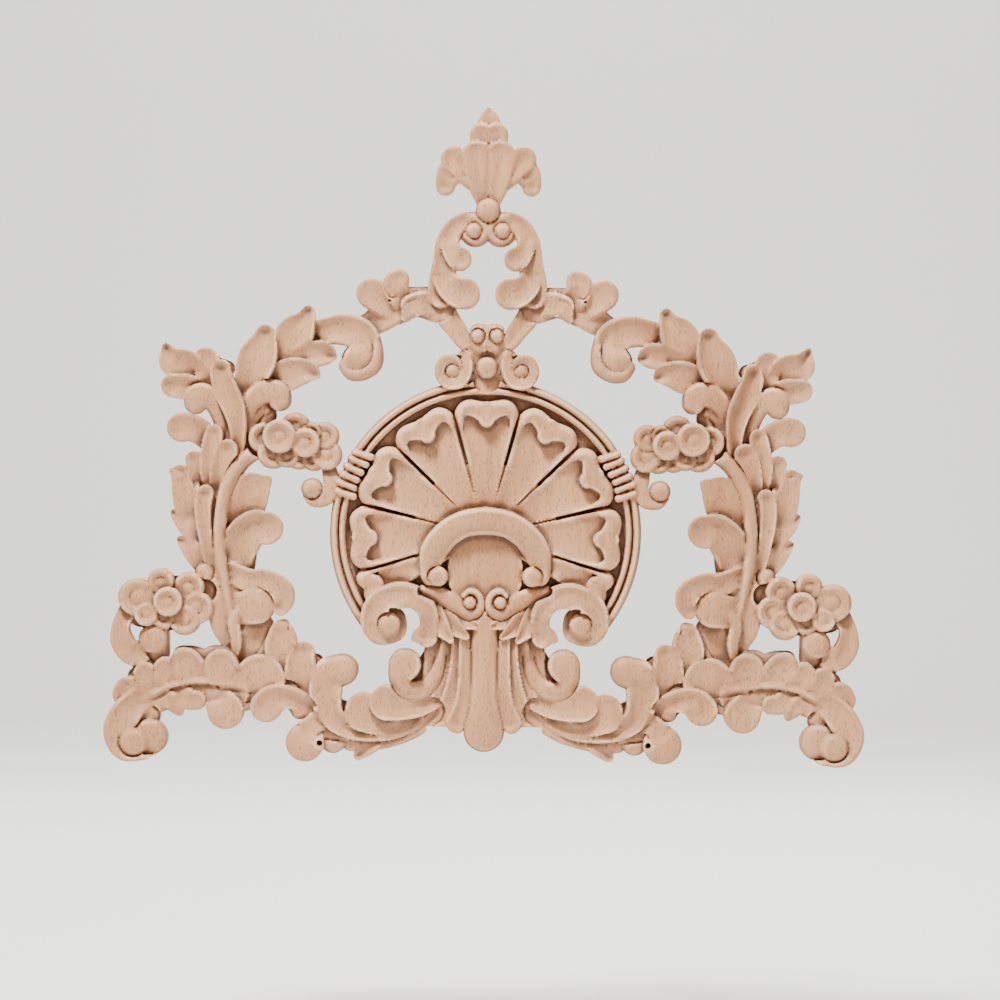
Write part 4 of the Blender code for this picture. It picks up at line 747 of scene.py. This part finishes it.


# The wood
# Unfinished pale hardwood with an upright grain, glued from staves about 45 mm wide that each
# differ a little. Fine dark pores run with the grain, hollows are darkened with painted shade and
# brown dust, and the edges are rubbed and lit with a painted highlight.
PALE = (0.635, 0.325, 0.162, 1)
WARM = (0.52, 0.24, 0.108, 1)
PORE = (0.22, 0.105, 0.05, 1)
# the next two: painted shade with brown dust for the hollows, and a painted highlight for the rubbed edges
DUST_AND_SHADE = (0.235, 0.138, 0.088, 1)
RUBBED_AND_HIGHLIGHT = (0.95, 0.61, 0.38, 1)
STAVE = 0.0435
STAVE_START = 0.011
STAVE_CONTRAST = 0.22
FIBRE_CONTRAST = 0.6
PORE_SHARE = 0.65
# shares of the painted shade with dust, and of the painted highlight on the rubbed edges
DUST_AND_SHADE_SHARE = 0.85
RUBBED_AND_HIGHLIGHT_SHARE = 0.6

wood = bpy.data.materials.new("pale_wood")
wood.use_nodes = True
nodes, links = wood.node_tree.nodes, wood.node_tree.links
surface = nodes["Principled BSDF"]


def place(kind, **settings):
    """A shader node with its settings; a socket's plain value is given by its name or number."""
    node = nodes.new(kind)
    for name, value in settings.pop("sockets", {}).items():
        node.inputs[name].default_value = value
    for name, value in settings.items():
        setattr(node, name, value)
    return node


def stretched(length):
    """Object coordinates with every pattern drawn out along the grain."""
    mapping = place("ShaderNodeMapping", sockets={"Scale": (1, 1, 1 / length)})
    links.new(where.outputs["Object"], mapping.inputs["Vector"])
    return mapping.outputs["Vector"]


def noise(vector, scale, detail, roughness=0.5):
    node = place("ShaderNodeTexNoise",
                 sockets={"Scale": scale, "Detail": detail, "Roughness": roughness})
    links.new(vector, node.inputs["Vector"])
    return node.outputs["Fac"]


def between(value, low, high):
    """The value's way from low to high, from 0 to 1, eased at both ends."""
    node = place("ShaderNodeMapRange", interpolation_type="SMOOTHSTEP",
                 sockets={"From Min": low, "From Max": high})
    links.new(value, node.inputs["Value"])
    return node.outputs["Result"]


def calculate(operation, first, second):
    node = place("ShaderNodeMath", operation=operation)
    for socket, value in zip(node.inputs, (first, second)):
        if isinstance(value, (int, float)):
            socket.default_value = value
        else:
            links.new(value, socket)
    return node.outputs["Value"]


def mixed(first, second, share):
    """One colour laid over another by a share from 0 to 1."""
    node = place("ShaderNodeMix", data_type="RGBA")
    for socket, value in ((node.inputs[6], first), (node.inputs[7], second), (node.inputs[0], share)):
        if isinstance(value, tuple):
            socket.default_value = value
        else:
            links.new(value, socket)
    return node.outputs[2]


where = place("ShaderNodeTexCoord")
growth = noise(stretched(14), 260, 4, 0.55)
fibres = noise(stretched(30), 1500, 3, 0.6)
clouds = noise(stretched(3), 22, 2)
apart = place("ShaderNodeSeparateXYZ")
links.new(where.outputs["Object"], apart.inputs["Vector"])
stave_number = calculate("ADD", apart.outputs["X"], STAVE_START)
stave_number = calculate("FLOOR", calculate("DIVIDE", stave_number, STAVE), 0.0)
stave_tone = place("ShaderNodeTexWhiteNoise", noise_dimensions="1D")
links.new(stave_number, stave_tone.inputs["W"])

pores = place("ShaderNodeTexVoronoi", sockets={"Scale": 1150.0, "Randomness": 1.0})
links.new(stretched(4.5), pores.inputs["Vector"])
pore_shape = between(pores.outputs["Distance"], 0.42, 0.22)
pore_chance = place("ShaderNodeSeparateColor")
links.new(pores.outputs["Color"], pore_chance.inputs["Color"])
pore_zone = between(noise(stretched(8), 120, 2), 0.35, 0.7)
pore_there = calculate("ADD", pore_chance.outputs["Red"], calculate("MULTIPLY", pore_zone, 0.45))
pore_there = between(pore_there, 0.72, 0.82)
pore_mask = calculate("MULTIPLY", pore_shape, pore_there)

tone = calculate("ADD", calculate("MULTIPLY", growth, 0.55), calculate("MULTIPLY", clouds, 0.45))
stave_shift = calculate("SUBTRACT", stave_tone.outputs["Value"], 0.5)
tone = calculate("ADD", tone, calculate("MULTIPLY", stave_shift, STAVE_CONTRAST))
fibre_shift = calculate("SUBTRACT", fibres, 0.5)
tone = calculate("ADD", tone, calculate("MULTIPLY", fibre_shift, FIBRE_CONTRAST))
colour = mixed(PALE, WARM, between(tone, 0.28, 0.78))
recess = place("ShaderNodeAttribute", attribute_name="recess")
edge_light = place("ShaderNodeAttribute", attribute_name="edge_light")
# masks for the painted shade in the hollows and the painted highlight on the edges
dust_and_shade_mask = between(recess.outputs["Fac"], 0.05, 0.65)
rubbed_and_highlight_mask = between(edge_light.outputs["Fac"], 0.15, 0.9)
colour = mixed(colour, PORE, calculate("MULTIPLY", pore_mask, PORE_SHARE))
# painted shade in the hollows, with brown dust
colour = mixed(colour, DUST_AND_SHADE, calculate("MULTIPLY", dust_and_shade_mask, DUST_AND_SHADE_SHARE))
# painted highlight on the edges, where they are rubbed
colour = mixed(colour, RUBBED_AND_HIGHLIGHT, calculate("MULTIPLY", rubbed_and_highlight_mask, RUBBED_AND_HIGHLIGHT_SHARE))
links.new(colour, surface.inputs["Base Color"])

rough = calculate("ADD", calculate("MULTIPLY", fibres, 0.16), 0.50)
links.new(calculate("ADD", rough, calculate("MULTIPLY", pore_mask, 0.15)), surface.inputs["Roughness"])
surface.inputs["Specular IOR Level"].default_value = 0.35
height = calculate("SUBTRACT", calculate("MULTIPLY", fibres, 0.35), pore_mask)
bump = place("ShaderNodeBump", sockets={"Strength": 0.55, "Distance": 0.00018})
links.new(height, bump.inputs["Height"])
links.new(bump.outputs["Normal"], surface.inputs["Normal"])

carving_mesh.materials.clear()
carving_mesh.materials.append(wood)
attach(carving, "root")
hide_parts("carved_applique")


# The studio
# A pale sweep, well below and behind the crest, which hangs free as it would on a wall. Soft light
# grazes the face from above on the left, with a weak fill from the right, one lamp for the back
# and one for the backdrop.
CAMERA_DISTANCE = 2.4
PICTURE_WIDTH = 0.6
FACE_DEPTH = 0.010
PICTURE_MIDDLE = (0.0085, 0.0241)
PICTURE_ROLL = math.radians(0.5)
SENSOR = 36.0
FLOOR_WIDTH = 9.0
FLOOR_FRONT, FLOOR_BACK = -4.0, 3.4
FLOOR_Z = -0.30
SWEEP_RADIUS = 1.0
BACKDROP_RISE = 3.0
PAPER = (0.78, 0.77, 0.75, 1)

sweep = bmesh.new()
bmesh.ops.create_grid(sweep, x_segments=1, y_segments=1, size=0.5)
for vert in sweep.verts:
    vert.co = (vert.co.x * FLOOR_WIDTH, FLOOR_FRONT if vert.co.y < 0 else FLOOR_BACK, FLOOR_Z)
far_edge = [e for e in sweep.edges if all(v.co.y > FLOOR_BACK - 0.1 for v in e.verts)]
bmesh.ops.spin(sweep, geom=far_edge, cent=(0, FLOOR_BACK, FLOOR_Z + SWEEP_RADIUS), axis=(1, 0, 0),
               angle=math.radians(90), steps=16)
sweep_top = FLOOR_Z + SWEEP_RADIUS - 0.01
top_edge = [e for e in sweep.edges if e.is_boundary and all(v.co.z > sweep_top for v in e.verts)]
raised = bmesh.ops.extrude_edge_only(sweep, edges=top_edge)["geom"]
raised_verts = [item for item in raised if isinstance(item, bmesh.types.BMVert)]
bmesh.ops.translate(sweep, vec=(0, 0, BACKDROP_RISE), verts=raised_verts)
bmesh.ops.recalc_face_normals(sweep, faces=sweep.faces[:])
sweep_mesh = bpy.data.meshes.new("studio_sweep")
sweep.to_mesh(sweep_mesh)
sweep.free()
sweep_mesh.shade_smooth()
paper = bpy.data.materials.new("studio_paper")
paper.use_nodes = True
paper.node_tree.nodes["Principled BSDF"].inputs["Base Color"].default_value = PAPER
paper.node_tree.nodes["Principled BSDF"].inputs["Roughness"].default_value = 0.9
sweep_mesh.materials.append(paper)
floor = bpy.data.objects.new("studio_sweep", sweep_mesh)
bpy.context.scene.collection.objects.link(floor)

camera_data = bpy.data.cameras.new("camera")
camera_data.sensor_width = SENSOR
camera_data.lens = SENSOR * (CAMERA_DISTANCE - FACE_DEPTH) / PICTURE_WIDTH
camera = bpy.data.objects.new("camera", camera_data)
camera.location = (PICTURE_MIDDLE[0], -CAMERA_DISTANCE, PICTURE_MIDDLE[1])
camera.rotation_euler = (math.radians(90), -PICTURE_ROLL, 0)
bpy.context.scene.collection.objects.link(camera)
bpy.context.scene.camera = camera


def lamp(name, spot, size, power, target=(0, 0, 0), spread=180):
    """A soft square lamp that faces the crest, or another target."""
    light = bpy.data.lights.new(name, "AREA")
    light.size = size
    light.energy = power
    light.spread = math.radians(spread)
    holder = bpy.data.objects.new(name, light)
    holder.location = spot
    holder.rotation_euler = (Vector(spot) - Vector(target)).to_track_quat("Z", "Y").to_euler()
    bpy.context.scene.collection.objects.link(holder)


lamp("key", (-0.5, -0.95, 1.8), 0.45, 40, spread=110)
lamp("fill", (1.2, -2.0, 0.8), 1.0, 6)
lamp("behind", (0.6, 1.6, 1.2), 1.2, 20)
lamp("backdrop", (0.0, 1.0, 3.0), 2.5, 330, target=(0, 3.6, 0.3))
world = bpy.data.worlds.new("studio")
world.use_nodes = True
world.node_tree.nodes["Background"].inputs["Color"].default_value = (1.0, 1.0, 1.0, 1)
world.node_tree.nodes["Background"].inputs["Strength"].default_value = 0.10
bpy.context.scene.world = world
